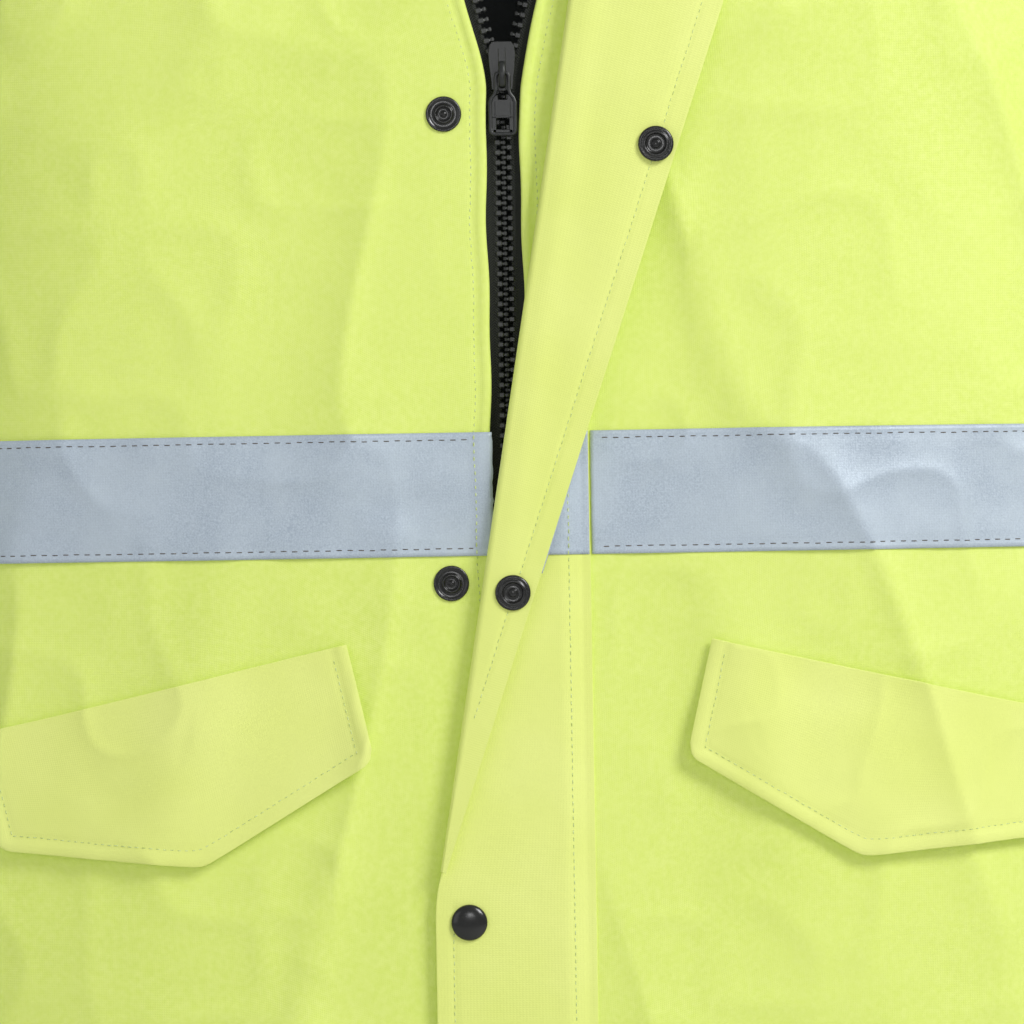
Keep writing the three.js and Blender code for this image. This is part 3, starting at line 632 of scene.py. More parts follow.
def sleeve_plain(side):
    """place(u, v) of a sleeve: rings about its edges, easing to the armhole curve near v 0."""
    def place(u, v):
        u, v = np.broadcast_arrays(np.asarray(u, float), np.asarray(v, float))
        inner, outer = sleeve_edges(v)
        low = np.clip((v - CAP_SHARE) / (1 - CAP_SHARE), 0, 1)
        depth = mix(mix(0.088, 0.078, smooth(0, CAP_SHARE, v)), 0.058, low)
        angle = 2 * np.pi * u
        centre, half = (inner + outer) / 2, (outer - inner) / 2 * np.cos(angle)[..., None]
        ring = np.stack([side * (centre + half)[..., 0],
                         BODY_Y + depth * np.sin(angle) - 0.022 * low**2,
                         HEM_Z + (centre + half)[..., 1]], axis=-1)
        return mix(armhole(u, side), ring, smooth(-0.02, SEAM_ZONE, v)[..., None])
    return place


def sleeve_shell(side, u, v, lift=0.0):
    """The outside of a sleeve's cloth: folds that run round it above the cuff and across the elbow, and
    longer ones that fan out below the armhole."""
    place = sleeve_plain(side)
    u, v = np.broadcast_arrays(np.asarray(u, float), np.asarray(v, float))
    plain = place(u, v)
    normal = outward(place, u, v) * -side
    away = smooth(0.0, 0.10, v)
    ring = plain * np.array([1.0, 1.0, 2.6]) + side * plain[..., :1] * np.array([0, 0, 0.9])
    elbow = np.exp(-(((v - 0.50) / 0.16) ** 2)) + 0.8 * np.exp(-(((v - 0.86) / 0.08) ** 2))
    folds = 0.0052 * elbow * (creases(ring, 0.085, 21) - 0.3)
    fan = (0.0045 * np.exp(-(((v - 0.20) / 0.16) ** 2))
           * (creases(plain * np.array([1.8, 1, 0.6]), 0.08, 22) - 0.3))
    broad = 0.0030 * lattice_noise(plain, 0.07, 23) + 0.0008 * lattice_noise(plain, 0.02, 24)
    calm = 1 - 0.85 * smooth(0.93, 0.99, v)
    return plain + normal * ((folds + fan + broad) * away * calm + lift)[..., None]


SLEEVE_RINGS = int(150 * FINE)
SLEEVE_ROUND = int(110 * FINE)


def swings(made, side_name):
    """Bakes a sleeve piece's transform into its mesh."""
    side_name + "_sleeve"
    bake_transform(made)


for side_name, side in (("left", 1), ("right", -1)):
    ring_u = np.arange(SLEEVE_ROUND)[None, :] / SLEEVE_ROUND
    ring_v = np.linspace(0, 1, SLEEVE_RINGS)[:, None]
    tube = sleeve_shell(side, ring_u, ring_v)
    inner = sleeve_plain(side)(ring_u, np.linspace(1, 0.93, 14)[:, None])
    pull_in = (outward(sleeve_plain(side), ring_u, np.linspace(1, 0.93, 14)[:, None]) * -side)
    turned = inner - pull_in * np.linspace(0.0018, 0.003, 14)[:, None, None]
    tube = np.concatenate([tube, turned], axis=0)
    if side > 0:
        tube = tube[:, ::-1]
    sleeve = grid_mesh("sleeve_" + side_name, tube, YELLOW, round_u=True)
    piece(thickened(sleeve, CLOTH), None, "fluorescent_cloth", side_name + "_sleeve")
    swings(sleeve, side_name)
    declare(sleeve, 0.52, 0.70)

# ---------------------------------------------------------------------------------------------------------
# Zip tapes: black herringbone tape on each side, from the hem up the fronts and the collar, with the cord
# woven into the edge that the teeth grip and a row of grey stitching down the left one.
# ---------------------------------------------------------------------------------------------------------
COLLAR_HEIGHT = 0.085
ZIP_BOTTOM = 0.014
TEETH_OUT = 0.0033
EDGE_RUN = float((EDGE_HALF + parting(NECK_FRONT)) / flat_half(NECK_FRONT) * FLAT_SHARE)
NECK_EDGE = float(neck_seam(np.array(EDGE_RUN)))
ZIP_TOP = NECK_EDGE + COLLAR_HEIGHT - 0.004


def unit(vectors):
    return vectors / np.maximum(np.linalg.norm(vectors, axis=-1, keepdims=True), 1e-12)


def collar_plain(u, v):
    """The collar stands on the neck seam and falls open at the front, v 0 at the seam and 1 at its top."""
    u, v = np.broadcast_arrays(np.asarray(u, float), np.asarray(v, float))
    front_share = 1 - smooth(EDGE_RUN, 0.9, np.where(u < 2, u, 4 - u))
    spread = (parting(NECK_FRONT + COLLAR_HEIGHT) - parting(NECK_FRONT)) * front_share
    rise = np.stack([np.where(u < 2, 1, -1) * spread * v, 0.012 * v * front_share, -0.0012 + 0.0872 * v],
                    axis=-1)
    return section(u, neck_seam(u)) + rise


def zip_place(side, x, z, h=0.0):
    """A point of the zip: x from the middle line before the fronts part, z over the hem, h forward of the
    tape."""
    x, z, h = np.broadcast_arrays(np.asarray(x, float), np.asarray(z, float), np.asarray(h, float))
    reach = x + parting(np.minimum(z, NECK_FRONT))
    y = BODY_Y + 0.0045 + 0.002 * smooth(0.640, 0.690, z) - front_depth(z) - h
    low = np.stack([side * reach, y, HEM_Z + z], axis=-1)
    s = reach / flat_half(NECK_FRONT) * FLAT_SHARE
    high = collar_plain(s if side > 0 else 4 - s, (z - NECK_EDGE) / COLLAR_HEIGHT)
    high = np.stack([high[..., 0], high[..., 1] + 0.0065 - h, HEM_Z + z], axis=-1)
    return np.where((z < NECK_EDGE)[..., None], low, high)


def woven_tape(name, tone, sheen, period):
    """Black woven tape: herringbone ribs across the cloth's own coordinates, their tops painted with a paler
    sheen colour (a painted sheen).
    """
    material, place, feed = new_material(name, Specular_IOR_Level=0.25, Sheen_Weight=0.2)
    uv = place.node("UVMap", {"uv_map": "cloth"})
    parts = uv.node("SeparateXYZ", None, {0: uv})
    across = Wire(parts.tree, parts.socket.node.outputs["X"])
    along = Wire(parts.tree, parts.socket.node.outputs["Y"])
    slant = across.maths("PINGPONG", across, 0.0021)
    rib = across.maths("PINGPONG", along + slant * 0.9, period) * (1 / period)
    thread = across.maths("PINGPONG", across, 0.00022) * 4500.0
    # The sheen colour is a painted sheen: the ribs' lit tops are drawn paler than the black tape.
    feed("Base Color", rib.between(0.1, 0.9).mixed(tone, sheen))
    feed("Roughness", 0.75 + thread * 0.12)
    feed("Normal", (rib + thread * 0.3).bump(0.7, 0.0002))
    return material


# The second, paler colour is the painted sheen on the ribs' tops.
WEBBING = woven_tape("black_webbing", (0.0035, 0.004, 0.0034, 1), (0.040, 0.043, 0.036, 1), 0.00055)
for side_name, side in (("left", 1), ("right", -1)):
    tape_z = np.linspace(0.002, ZIP_TOP, int(400 * FINE))[:, None]
    tape_x = np.concatenate([TEETH_OUT - 0.0006 + np.linspace(0, 0.003, 10),
                             np.linspace(0.0066, 0.0175, 8)])[None, :]
    cord = 0.00055 * np.exp(-(((tape_x - 0.0039) / 0.0009) ** 2))
    ripple = 0.0001 * np.sin(tape_z * 620) * (tape_x - 0.003) / 0.014
    tape_points = zip_place(side, tape_x, tape_z, 0.0003 + cord + ripple)
    tape = grid_mesh("zip_tape_" + side_name, tape_points if side > 0 else tape_points[:, ::-1], WEBBING)
    piece(thickened(tape, 0.0006), "root", "black_webbing", side_name + "_zip_tape")
    declare(tape, 0.0155, ZIP_TOP)

# ---------------------------------------------------------------------------------------------------------
# Zip teeth: moulded acetal, each a square foot that grips the tape's cord, a neck and a round head. The
# two rows stand half a pitch apart, so each head lies between two necks.
# ---------------------------------------------------------------------------------------------------------
TOOTH_PITCH = 0.0041


def black_plastic(name, tone, rough, flecks=0.10):
    """Moulded black plastic with a faint bloom and fine scratches."""
    material, place, feed = new_material(name, Specular_IOR_Level=0.55)
    bloom = place.node("TexNoise", None, {"Vector": place, "Scale": 900.0, "Detail": 3.0})
    cloud = place.node("TexNoise", None, {"Vector": place, "Scale": 120.0, "Detail": 3.0})
    feed("Base Color", cloud.between(0.3, 0.8).mixed(tone, tuple(c * 1.9 for c in tone[:3]) + (1,)))
    feed("Roughness", rough + (bloom * 0.6 + cloud * 0.4) * flecks)
    feed("Normal", bloom.bump(0.12, 0.00008))
    return material


ZIP_PLASTIC = black_plastic("zip_plastic", (0.0085, 0.0095, 0.008, 1), 0.30)
# A paler copy of the zip plastic: painted light on the tooth row that faces the lamp.
PAINTED_LIT_TEETH = black_plastic("tooth_plastic_painted_lit", (0.022, 0.023, 0.021, 1), 0.34)
TOOTH_X = np.array([-0.00095, -0.0007, -0.0001, 0.00045, 0.0009, 0.00125, 0.0015, 0.0032, 0.0037])
TOOTH_HALF = np.array([0.00035, 0.00085, 0.0010, 0.00078, 0.0006, 0.0007, 0.00125, 0.00125, 0.0010])
TOOTH_DEEP = np.array([0.0007, 0.00105, 0.0012, 0.0011, 0.0011, 0.0013, 0.0015, 0.0015, 0.0012])


def teeth_row(name, side, start):
    """A row of teeth: every tooth is rings of eight points with cut corners at the stations TOOTH_X."""
    z = np.arange(start, ZIP_TOP - 0.004, TOOTH_PITCH)
    turn = np.array([[1, 0.55], [0.6, 1], [-0.6, 1], [-1, 0.55], [-1, -0.55], [-0.6, -1], [0.6, -1],
                     [1, -0.55]])
    dz = TOOTH_HALF[:, None] * turn[:, 0]
    dh = TOOTH_DEEP[:, None] * turn[:, 1]
    shape = (len(z), len(TOOTH_X), 8)
    x = np.broadcast_to(TOOTH_X[None, :, None], shape)
    tilt = np.gradient(parting(z), z)[:, None, None]
    up = z[:, None, None] + dz[None] - tilt * (x - 0.0033)
    centre = zip_place(side, 0.0033 + 0 * z, z)
    points = np.empty(shape + (3,))
    points[..., 0] = centre[:, None, None, 0] + side * (x - 0.0033 + tilt * dz[None])
    points[..., 1] = centre[:, None, None, 1] - dh[None]
    points[..., 2] = HEM_Z + up
    # The wearer's right row takes the paler copy, a painted lit side; the left row keeps the plain zip
    # plastic.
    return rings_mesh(name, points, ZIP_PLASTIC if side > 0 else PAINTED_LIT_TEETH, flip=side > 0)


def rings_mesh(name, points, material, flip=False, smooth_faces=False):
    """Many closed pieces in one mesh. points[piece, station, k] are rings joined along the stations and
    closed at both ends by quads across the ring, so k has an even count."""
    pieces, stations, around = points.shape[:3]
    s, k = np.meshgrid(np.arange(stations - 1), np.arange(around), indexing="ij")
    k2 = (k + 1) % around
    wall = np.stack([s * around + k, s * around + k2, (s + 1) * around + k2, (s + 1) * around + k], axis=-1)
    half = np.arange(around // 2 - 1)
    last = (stations - 1) * around
    cap = np.stack([half, half + 1, around - 2 - half, around - 1 - half], axis=-1)
    faces = np.concatenate([wall.reshape(-1, 4), cap[:, ::-1], cap + last])
    if flip:
        faces = faces[:, ::-1]
    every = (np.arange(pieces)[:, None, None] * stations * around + faces[None]).reshape(-1, 4)
    return finished(name, mesh_of(name, points.reshape(-1, 3), every, smooth_faces), material)


for side_name, side, start in (("left", 1, ZIP_BOTTOM + 0.0005),
                               ("right", -1, ZIP_BOTTOM + 0.0005 + TOOTH_PITCH / 2)):
    piece(teeth_row("teeth_" + side_name, side, start), "root", "zip_plastic", side_name + "_zip_teeth")

# ---------------------------------------------------------------------------------------------------------
# Zip slider and pull: a moulded slider of two plates on a wedge with an arched bail, and a pull with a raised
# rim, a slot for the bail and a window near its end. The box and pin at the hem are moulded on the tapes.
# ---------------------------------------------------------------------------------------------------------
def bars(name, rows, material, cut=0.0003):
    """Closed bars along Z. rows[bar] lists stations (z, x0, x1, h0, h1) in millimetres; corners are cut
    off."""
    table = np.array(rows, float) / 1000
    z, x0, x1, h0, h1 = np.moveaxis(table, -1, 0)
    x = np.stack([x0 + cut, x1 - cut, x1, x1, x1 - cut, x0 + cut, x0, x0], axis=-1)
    h = np.stack([h0, h0, h0 + cut, h1 - cut, h1, h1, h1 - cut, h0 + cut], axis=-1)
    points = np.stack([x, ZIP_Y - h, np.broadcast_to(HEM_Z + z[..., None], x.shape)], axis=-1)
    return rings_mesh(name, points, material, flip=True)


def loop_tube(name, path, up, wide, deep, material, closed=True):
    """A bar of rounded section wide by deep swept along a path whose outward side is path direction x up."""
    way = (unit(np.roll(path, -1, axis=0) - np.roll(path, 1, axis=0)) if closed
           else unit(np.gradient(path, axis=0)))
    across = unit(np.cross(way, up))
    angle = np.arange(12) * np.pi / 6
    flat = (np.abs(np.cos(angle)) ** 0.6 * np.sign(np.cos(angle)),
            np.abs(np.sin(angle)) ** 0.6 * np.sign(np.sin(angle)))
    points = (path[:, None] + across[:, None] * (flat[0] * wide / 2)[:, None]
              + np.asarray(up) * (flat[1] * deep / 2)[:, None])
    if closed:
        return grid_mesh(name, points[:, ::-1], material, round_u=True, round_v=True)
    return rings_mesh(name, points[None, :, ::-1], material, smooth_faces=True)


SLIDER = [(607.2, 4.0), (607.8, 4.4), (612, 4.7), (616, 5.2), (622.5, 5.7), (625.6, 5.2), (627, 4.2),
          (627.3, 3.4)]
top_plate = [(z, -w, w, 1.7 + 0.3 * (z in (607.2, 627.3)), 2.9 - 0.4 * (z in (607.2, 627.3)))
             for z, w in SLIDER]
under_plate = [(z, -w, w, -2.8, -1.7) for z, w in SLIDER]
rail = [(z, -1.6, 1.6, 2.6, 3.1) for z in (607.4, 609, 611, 613, 616, 619, 622, 624.5)]
wedge = [(619 + i, -0.1 - 0.09 * i, 0.1 + 0.09 * i, -1.9, 1.9) for i in range(8)]
bail_turn = np.linspace(0, np.pi, 9)
bail_z = np.concatenate([[0.6186], 0.6137 + 0.0049 * np.cos(bail_turn), [0.6088]])
bail_h = np.concatenate([[0.0026], 0.0040 + 0.0024 * np.sin(bail_turn), [0.0026]])
bail_path = np.stack([0 * bail_z, ZIP_Y - bail_h, HEM_Z + bail_z], axis=-1)
piece(bars("slider", [top_plate, under_plate, rail, wedge], ZIP_PLASTIC), "zip_slider", "zip_plastic",
      "zip_slider")
bail = loop_tube("slider_bail", bail_path, (1.0, 0, 0), 0.0012, 0.0025, ZIP_PLASTIC, closed=False)
piece(bail, "zip_slider", "zip_plastic")
PULL_OUTLINE = [(0, 589.6), (3.6, 589.6), (4.5, 590.0), (5.0, 590.9), (5.05, 597), (5.05, 602.4),
                (4.4, 604.2),
                (3.1, 605.8), (2.65, 607.5), (2.65, 612.8), (2.3, 613.9), (1.5, 614.3)]
right_half = [(-x, z) for x, z in PULL_OUTLINE[:0:-1]]
pull_xz = np.array(PULL_OUTLINE + right_half) / 1000
turn_round = np.arange(0, len(pull_xz), 1 / 4)
pull_path = np.stack([np.interp(turn_round, np.arange(len(pull_xz) + 1), np.append(pull_xz[:, 0], 0)),
                      np.full(len(turn_round), ZIP_Y - 0.0044),
                      HEM_Z + np.interp(turn_round, np.arange(len(pull_xz) + 1),
                                        np.append(pull_xz[:, 1], 0.5896))],
                     axis=-1)
rim = loop_tube("pull_rim", pull_path, (0, -1.0, 0), 0.0016, 0.0019, ZIP_PLASTIC)
piece(rim, "zip_pull", "zip_plastic", "zip_pull")
SPREAD = np.linspace(0, 1, 8)
pull_web = [[(z, -4.6, 4.6, 3.7, 4.9) for z in 596.2 + 7.2 * SPREAD],
            [(z, -3.2, 3.2, 4.7, 5.2) for z in 597.0 + 5.4 * SPREAD],
            [(z, -4.7, -2.6, 3.7, 4.9) for z in 590.2 + 6.3 * SPREAD],
            [(z, 2.6, 4.7, 3.7, 4.9) for z in 590.2 + 6.3 * SPREAD],
            [(z, -4.0, 4.0, 3.7, 4.9) for z in 589.6 + 1.7 * SPREAD],
            [(z, -4.4, -1.8, 3.8, 4.8) for z in 603.2 + 2.0 * SPREAD],
            [(z, 1.8, 4.4, 3.8, 4.8) for z in 603.2 + 2.0 * SPREAD]]
piece(bars("pull_plate", pull_web, ZIP_PLASTIC, 0.0002), "zip_pull", "zip_plastic")
hem_box = [(z, -0.2, 6.4, -2.2 + e, 2.2 - e)
           for z, e in zip(2 + 11.6 * SPREAD, (0.5, 0, 0, 0.3, 0, 0.3, 0, 0.5))]
hem_pin = [(z, -3.0 + e, -0.6 - e, -1.4 + e, 1.4 - e)
           for z, e in zip(2 + 11.6 * SPREAD, (0.5, 0.2, 0, 0, 0, 0, 0, 0.3))]
piece(bars("zip_end_box", [hem_box], ZIP_PLASTIC, 0.0006), "root", "zip_plastic", "zip_box")
piece(bars("zip_end_pin", [hem_pin], ZIP_PLASTIC, 0.0005), "root", "zip_plastic", "zip_pin")

# ---------------------------------------------------------------------------------------------------------
# Storm flap: two layers of the shell cloth sewn to the left front beside the zip. Its lower part lies across
# the zip; the upper part is turned back on itself along a slanting fold and shows its paler inner side.
# ---------------------------------------------------------------------------------------------------------
FLAP_SEAM = 0.0325
FLAP_FREE = -0.0326
FLAP_TOP = 0.668
FLAP_BOTTOM = 0.006
FLAP_CLOTH = 0.0016
FOLD_Z = 0.2779
FOLD_SLOPE = 0.164
FOLD_TIP = 0.014
FOLD_LEAN = math.atan(FOLD_SLOPE)
FOLD_OUT = np.array([math.cos(FOLD_LEAN), -math.sin(FOLD_LEAN)])


def fold_x(z):
    return FLAP_FREE + FOLD_SLOPE * (z - FOLD_Z)


def fold_round(z):
    """Radius of the fold's roll: small at its lower end, where the flap only starts to turn."""
    return 0.00105 + 0.0018 * smooth(FOLD_Z + FOLD_TIP, FOLD_Z + 0.09, z)


def flap_wave(x, z, seed):
    """Soft unevenness of the flap from -1 to 1."""
    where = np.stack(np.broadcast_arrays(x * 1.6, 0.0, z), axis=-1)
    return 0.7 * lattice_noise(where, 0.045, seed) + 0.3 * lattice_noise(where, 0.016, seed + 1)


def base_edge(z):
    """x of the base's edge: the free edge under the fold's lower end, and above it the start of the roll."""
    return mix(FLAP_FREE, fold_x(z) + fold_round(z), smooth(FOLD_Z - 0.010, FOLD_Z + 0.022, z))


def base_height(x, z):
    """Height of the base's outer face before the zip tape: a step up beside the seam, then level and
    uneven."""
    seam_gap = FLAP_SEAM + parting(z) - x
    rise = mix(0.0049, 0.0080, smooth(0.0005, 0.013, seam_gap)) + FLAP_CLOTH
    edge_gap = np.abs(x - base_edge(z))
    stitched = 0.00035 * np.exp(-(((edge_gap - 0.0072) / 0.0014) ** 2)) * (z < FOLD_Z)
    groove = 0.0003 * np.exp(-(((seam_gap - 0.0035) / 0.0010) ** 2))
    return rise - 0.0005 + 0.0005 * flap_wave(x, z, 31) - stitched - groove


def under_cloth():
    """The inner side of the flap: the same yellow cloth, paler and duller where the coating is thin, with the
    same painted glow (a uniform emission) that lifts its shadows.
    """
    # The emission below is a painted glow that brightens this cloth's shadows; it is no lamp.
    material, place, feed = new_material("flap_inside", Specular_IOR_Level=0.28, Sheen_Weight=0.2,
                                         Emission_Color=(0.62, 0.78, 0.02, 1), Emission_Strength=0.085)
    uv = place.node("UVMap", {"uv_map": "cloth"})
    threads = [uv.node("TexWave", {"bands_direction": way}, {"Vector": uv, "Scale": 340.0}) for way in "XY"]
    mottle = place.node("TexNoise", None, {"Vector": place, "Scale": 18.0, "Detail": 4.0})
    feed("Base Color", mottle.between(0.3, 0.7).mixed(linear(219, 228, 127), linear(226, 233, 140)))
    feed("Roughness", 0.55 + mottle * 0.15)
    grain = place.node("TexNoise", None, {"Vector": place, "Scale": 420.0, "Detail": 3.0})
    feed("Normal", (threads[0] * threads[1]).bump(0.3, 0.00012, grain.bump(0.25, 0.00012)))
    return material


FLAP_INSIDE = under_cloth()


flap_rows = int(300 * FINE)
base_z = np.linspace(FLAP_BOTTOM, FLAP_TOP, flap_rows)[:, None]
base_share = np.linspace(0, 1, int(60 * FINE))[None, :]
base_x = mix(base_edge(base_z), FLAP_SEAM + parting(base_z), base_share)
base_points = np.stack(np.broadcast_arrays(base_x, ZIP_Y - base_height(base_x, base_z), HEM_Z + base_z),
                       axis=-1)
flap_base = grid_mesh("flap_base", base_points, FLAP_INSIDE)


def rounded_rim(made, width=0.0005):
    """Rounds the cut edge that a Solidify modifier leaves, with a live Bevel modifier."""
    bevel = made.modifiers.new("rim", "BEVEL")
    bevel.width = width
    bevel.segments = 2
    bevel.limit_method = "ANGLE"
    bevel.angle_limit = math.radians(55)
    return made


piece(rounded_rim(thickened(flap_base, FLAP_CLOTH)), "root", "fluorescent_cloth", "storm_flap_base")
declare(flap_base, 0.075, 0.672)


def turned_point(out, z, height):
    """A point of the turned part at a distance out from the fold line opposite height z of the closed
    flap."""
    closed_x = fold_x(z) - out / FOLD_OUT[0]
    x = closed_x + 2 * out * FOLD_OUT[0]
    return np.stack(np.broadcast_arrays(x, ZIP_Y - height, HEM_Z + z + 2 * out * FOLD_OUT[1]), axis=-1)


def turned_width(z):
    """Distance from the fold line to the free edge, with the top corner rounded off."""
    corner = 0.008 * (1 - np.sqrt(np.clip(1 - (np.clip(z - FLAP_TOP + 0.008, 0, 0.008) / 0.008) ** 2, 0, 1)))
    return (fold_x(z) - FLAP_FREE - corner) * FOLD_OUT[0]


def turned_height(out, z):
    """Height of the turned part's inner side: a soft swell beside the fold, an edge that dips a little,
    and the shallow channel of its row of stitches."""
    wide = turned_width(z)
    gap = wide - out
    swell = 0.0009 * np.exp(-(((out - 0.008) / 0.006) ** 2)) * smooth(0.008, 0.03, wide)
    dip = 0.0011 * (1 - smooth(0.0, 0.016, gap)) * smooth(0.02, 0.05, wide)
    groove = 0.0003 * np.exp(-(((gap - 0.0080) / 0.0012) ** 2)) * smooth(0.012, 0.02, wide)
    wave = flap_wave(out + 0.3, z, 37) * 0.0007 * smooth(0.003, 0.02, out) * smooth(0.01, 0.03, wide)
    return 0.0131 + swell - dip - groove + wave


turned_z = np.linspace(FOLD_Z + FOLD_TIP, FLAP_TOP, flap_rows)[:, None]
roll_turn = np.linspace(0, np.pi, 15)[None, :-1]
radius = fold_round(turned_z)
roll_out = radius * (1 - np.sin(roll_turn))
top_h = turned_height(radius, turned_z)
roll_h = (0.0080 + top_h) / 2 - (top_h - 0.0080) / 2 * np.cos(roll_turn)
turned_share = np.linspace(0, 1, int(56 * FINE))[None, :]
sheet_out = mix(radius, turned_width(turned_z), turned_share)
all_out = np.concatenate([roll_out, sheet_out], axis=1)
all_h = np.concatenate([roll_h, turned_height(sheet_out, turned_z)], axis=1)
turned_points = turned_point(all_out, turned_z, all_h)
flap_turned = grid_mesh("flap_turned", turned_points, FLAP_INSIDE)
piece(rounded_rim(thickened(flap_turned, 0.0014)), None, "fluorescent_cloth", "storm_flap_fold")


def folds_back(made):
    """Bakes the folding part's transform into its mesh."""
    tilt = 0.3
    start = np.array([fold_x(0.5), ZIP_Y - 0.0089, HEM_Z + 0.5])
    way = unit(np.array([tilt * FOLD_OUT[0], -1.0, tilt * FOLD_OUT[1]]))
    tuple(start + way * 0.0041 / math.hypot(1, tilt))
    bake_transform(made)


folds_back(flap_turned)
declare(flap_turned, 0.078, 0.40, held="folded")

# ---------------------------------------------------------------------------------------------------------
# Press studs: five black nylon sets riveted through the cloth, each a stud on the right front and a socket
# with a domed cap on the flap. The two upper sockets are on the turned part and face forwards.
# ---------------------------------------------------------------------------------------------------------
SNAP_PLASTIC = black_plastic("snap_plastic", (0.0075, 0.0075, 0.006, 1), 0.16)


def lathe(name, x, z, profile, material, around=44):
    """A turned piece facing forwards at x, z: profile lists (radius, h) in millimetres from one end of
    its axis to the other, h forward of the zip tape, in the order that has the outside on its left."""
    table = np.array(profile, float) / 1000
    radius = np.maximum(table[:, 0], 2e-5)[:, None]
    angle = np.arange(around)[None, :] * 2 * np.pi / around
    points = np.stack(np.broadcast_arrays(x + radius * np.cos(angle), ZIP_Y - table[:, 1][:, None],
                                          HEM_Z + z + radius * np.sin(angle)), axis=-1)
    return rings_mesh(name, points[None], material, smooth_faces=True)


STUD = [(0, 3.6), (5.2, 3.6), (5.9, 4.0), (6.3, 4.7), (7.0, 4.75), (7.2, 4.95), (7.2, 5.35), (7.05, 5.6),
        (6.7, 5.72),
        (6.2, 5.66), (5.9, 5.45), (5.6, 5.35), (4.3, 5.35), (4.0, 5.45), (3.8, 6.0), (3.6, 6.25), (3.3, 6.3),
        (3.0, 6.2), (2.85, 5.9), (2.75, 5.1), (2.55, 4.95), (1.2, 4.95), (1.0, 5.1), (0.8, 5.3), (0, 5.35)]
DOME = [(0, 9.0), (6.3, 9.0), (6.9, 9.3), (7.25, 9.75), (7.3, 10.05), (7.2, 10.35), (6.9, 10.75),
        (6.3, 11.15),
        (5.4, 11.5), (4.3, 11.78), (3.0, 11.98), (1.5, 12.1), (0, 12.14)]
SOCKET = [(0, 12.6), (5.0, 12.6), (6.6, 13.0), (7.1, 13.2), (7.2, 13.5), (7.15, 13.85), (6.9, 14.15),
          (6.4, 14.35),
          (6.0, 14.3), (5.75, 14.15), (5.4, 14.2), (5.1, 14.5), (4.8, 14.65), (4.4, 14.62), (4.15, 14.4),
          (4.0, 13.9),
          (3.8, 13.6), (3.4, 13.5), (2.0, 13.5), (1.75, 13.6), (1.6, 14.0), (1.35, 14.15), (0, 14.2)]
BACK_CAP = [(0, 9.75), (2.5, 9.8), (4.5, 10.0), (6.2, 10.5), (7.0, 11.0), (7.3, 11.4), (7.2, 11.7),
            (6.6, 11.9), (0, 12)]
for number, (x, z) in enumerate(SNAPS, 1):
    stud = lathe("stud_%d" % number, x, z, STUD, SNAP_PLASTIC)
    piece(stud, "root", "snap_plastic", "snap_stud_%d" % number)
    if number > 2:
        piece(lathe("dome_%d" % number, x, z, DOME, SNAP_PLASTIC), "root", "snap_plastic",
              "snap_cap_%d" % number)
        continue
    out = (fold_x(z) - x) * FOLD_OUT[0]
    x, z = x + 2 * out * FOLD_OUT[0], z + 2 * out * FOLD_OUT[1]
    socket = lathe("socket_%d" % number, x, z, [(r, h + 0.5) for r, h in SOCKET], SNAP_PLASTIC)
    piece(socket, "storm_flap", "snap_plastic", "snap_cap_%d" % number)
    piece(lathe("cap_%d" % number, x, z, BACK_CAP, SNAP_PLASTIC), "storm_flap", "snap_plastic")

# ---------------------------------------------------------------------------------------------------------
# Reflective tape: silver-grey glass-bead cloth, 50 mm wide, sewn flat round the chest and forearms and across
# the storm flap. Its cut ends at the right front's edge are a little frayed.
# ---------------------------------------------------------------------------------------------------------
TAPE_LOW = 0.419
TAPE_HIGH = 0.469


def reflective_cloth():
    """Blue-grey reflective cloth: fine beads, cloudy wear and the weave of its backing."""
    material, place, feed = new_material("reflective_tape", Specular_IOR_Level=0.45, Sheen_Weight=0.1)
    uv = place.node("UVMap", {"uv_map": "cloth"})
    threads = [uv.node("TexWave", {"bands_direction": way}, {"Vector": uv, "Scale": 300.0}) for way in "XY"]
    beads = place.node("TexNoise", None, {"Vector": place, "Scale": 1500.0, "Detail": 2.0})
    cloud = place.node("TexNoise", None, {"Vector": place, "Scale": 34.0, "Detail": 5.0, "Roughness": 0.6})
    tone = cloud.between(0.34, 0.66).mixed(linear(160, 173, 186), linear(181, 193, 202))
    feed("Base Color", beads.between(0.3, 0.75).mixed(tone, linear(190, 202, 212)))
    feed("Roughness", 0.40 + cloud * 0.2)
    feed("Metallic", beads * 0.25)
    rippled = place.node("TexNoise", None, {"Vector": place, "Scale": 60.0, "Detail": 5.0})
    feed("Normal",
         beads.bump(0.25, 0.0001, (threads[0] * threads[1]).bump(0.2, 0.0001, rippled.bump(0.35, 0.0009))))
    return material


REFLECTIVE = reflective_cloth()
band_z = np.linspace(TAPE_LOW, TAPE_HIGH, int(26 * FINE))[:, None]


def tape_lift(x, z):
    """The tape lies close to the cloth, is drawn in along its stitches and puckers between them."""
    stitched = (np.exp(-(((z - TAPE_LOW - 0.003) / 0.0012) ** 2))
                + np.exp(-(((TAPE_HIGH - 0.003 - z) / 0.0012) ** 2)))
    pucker = np.stack(np.broadcast_arrays(x, 0.0, z * 0.5), axis=-1)
    near = np.exp(-(((z - TAPE_LOW) / 0.009) ** 2)) + np.exp(-(((z - TAPE_HIGH) / 0.009) ** 2))
    rumple = 0.0009 * lattice_noise(pucker, 0.014, 41) * near + 0.0006 * lattice_noise(pucker, 0.03, 42)
    return 0.0010 + np.clip(rumple, -0.0004, 0.0012) - 0.0003 * stitched


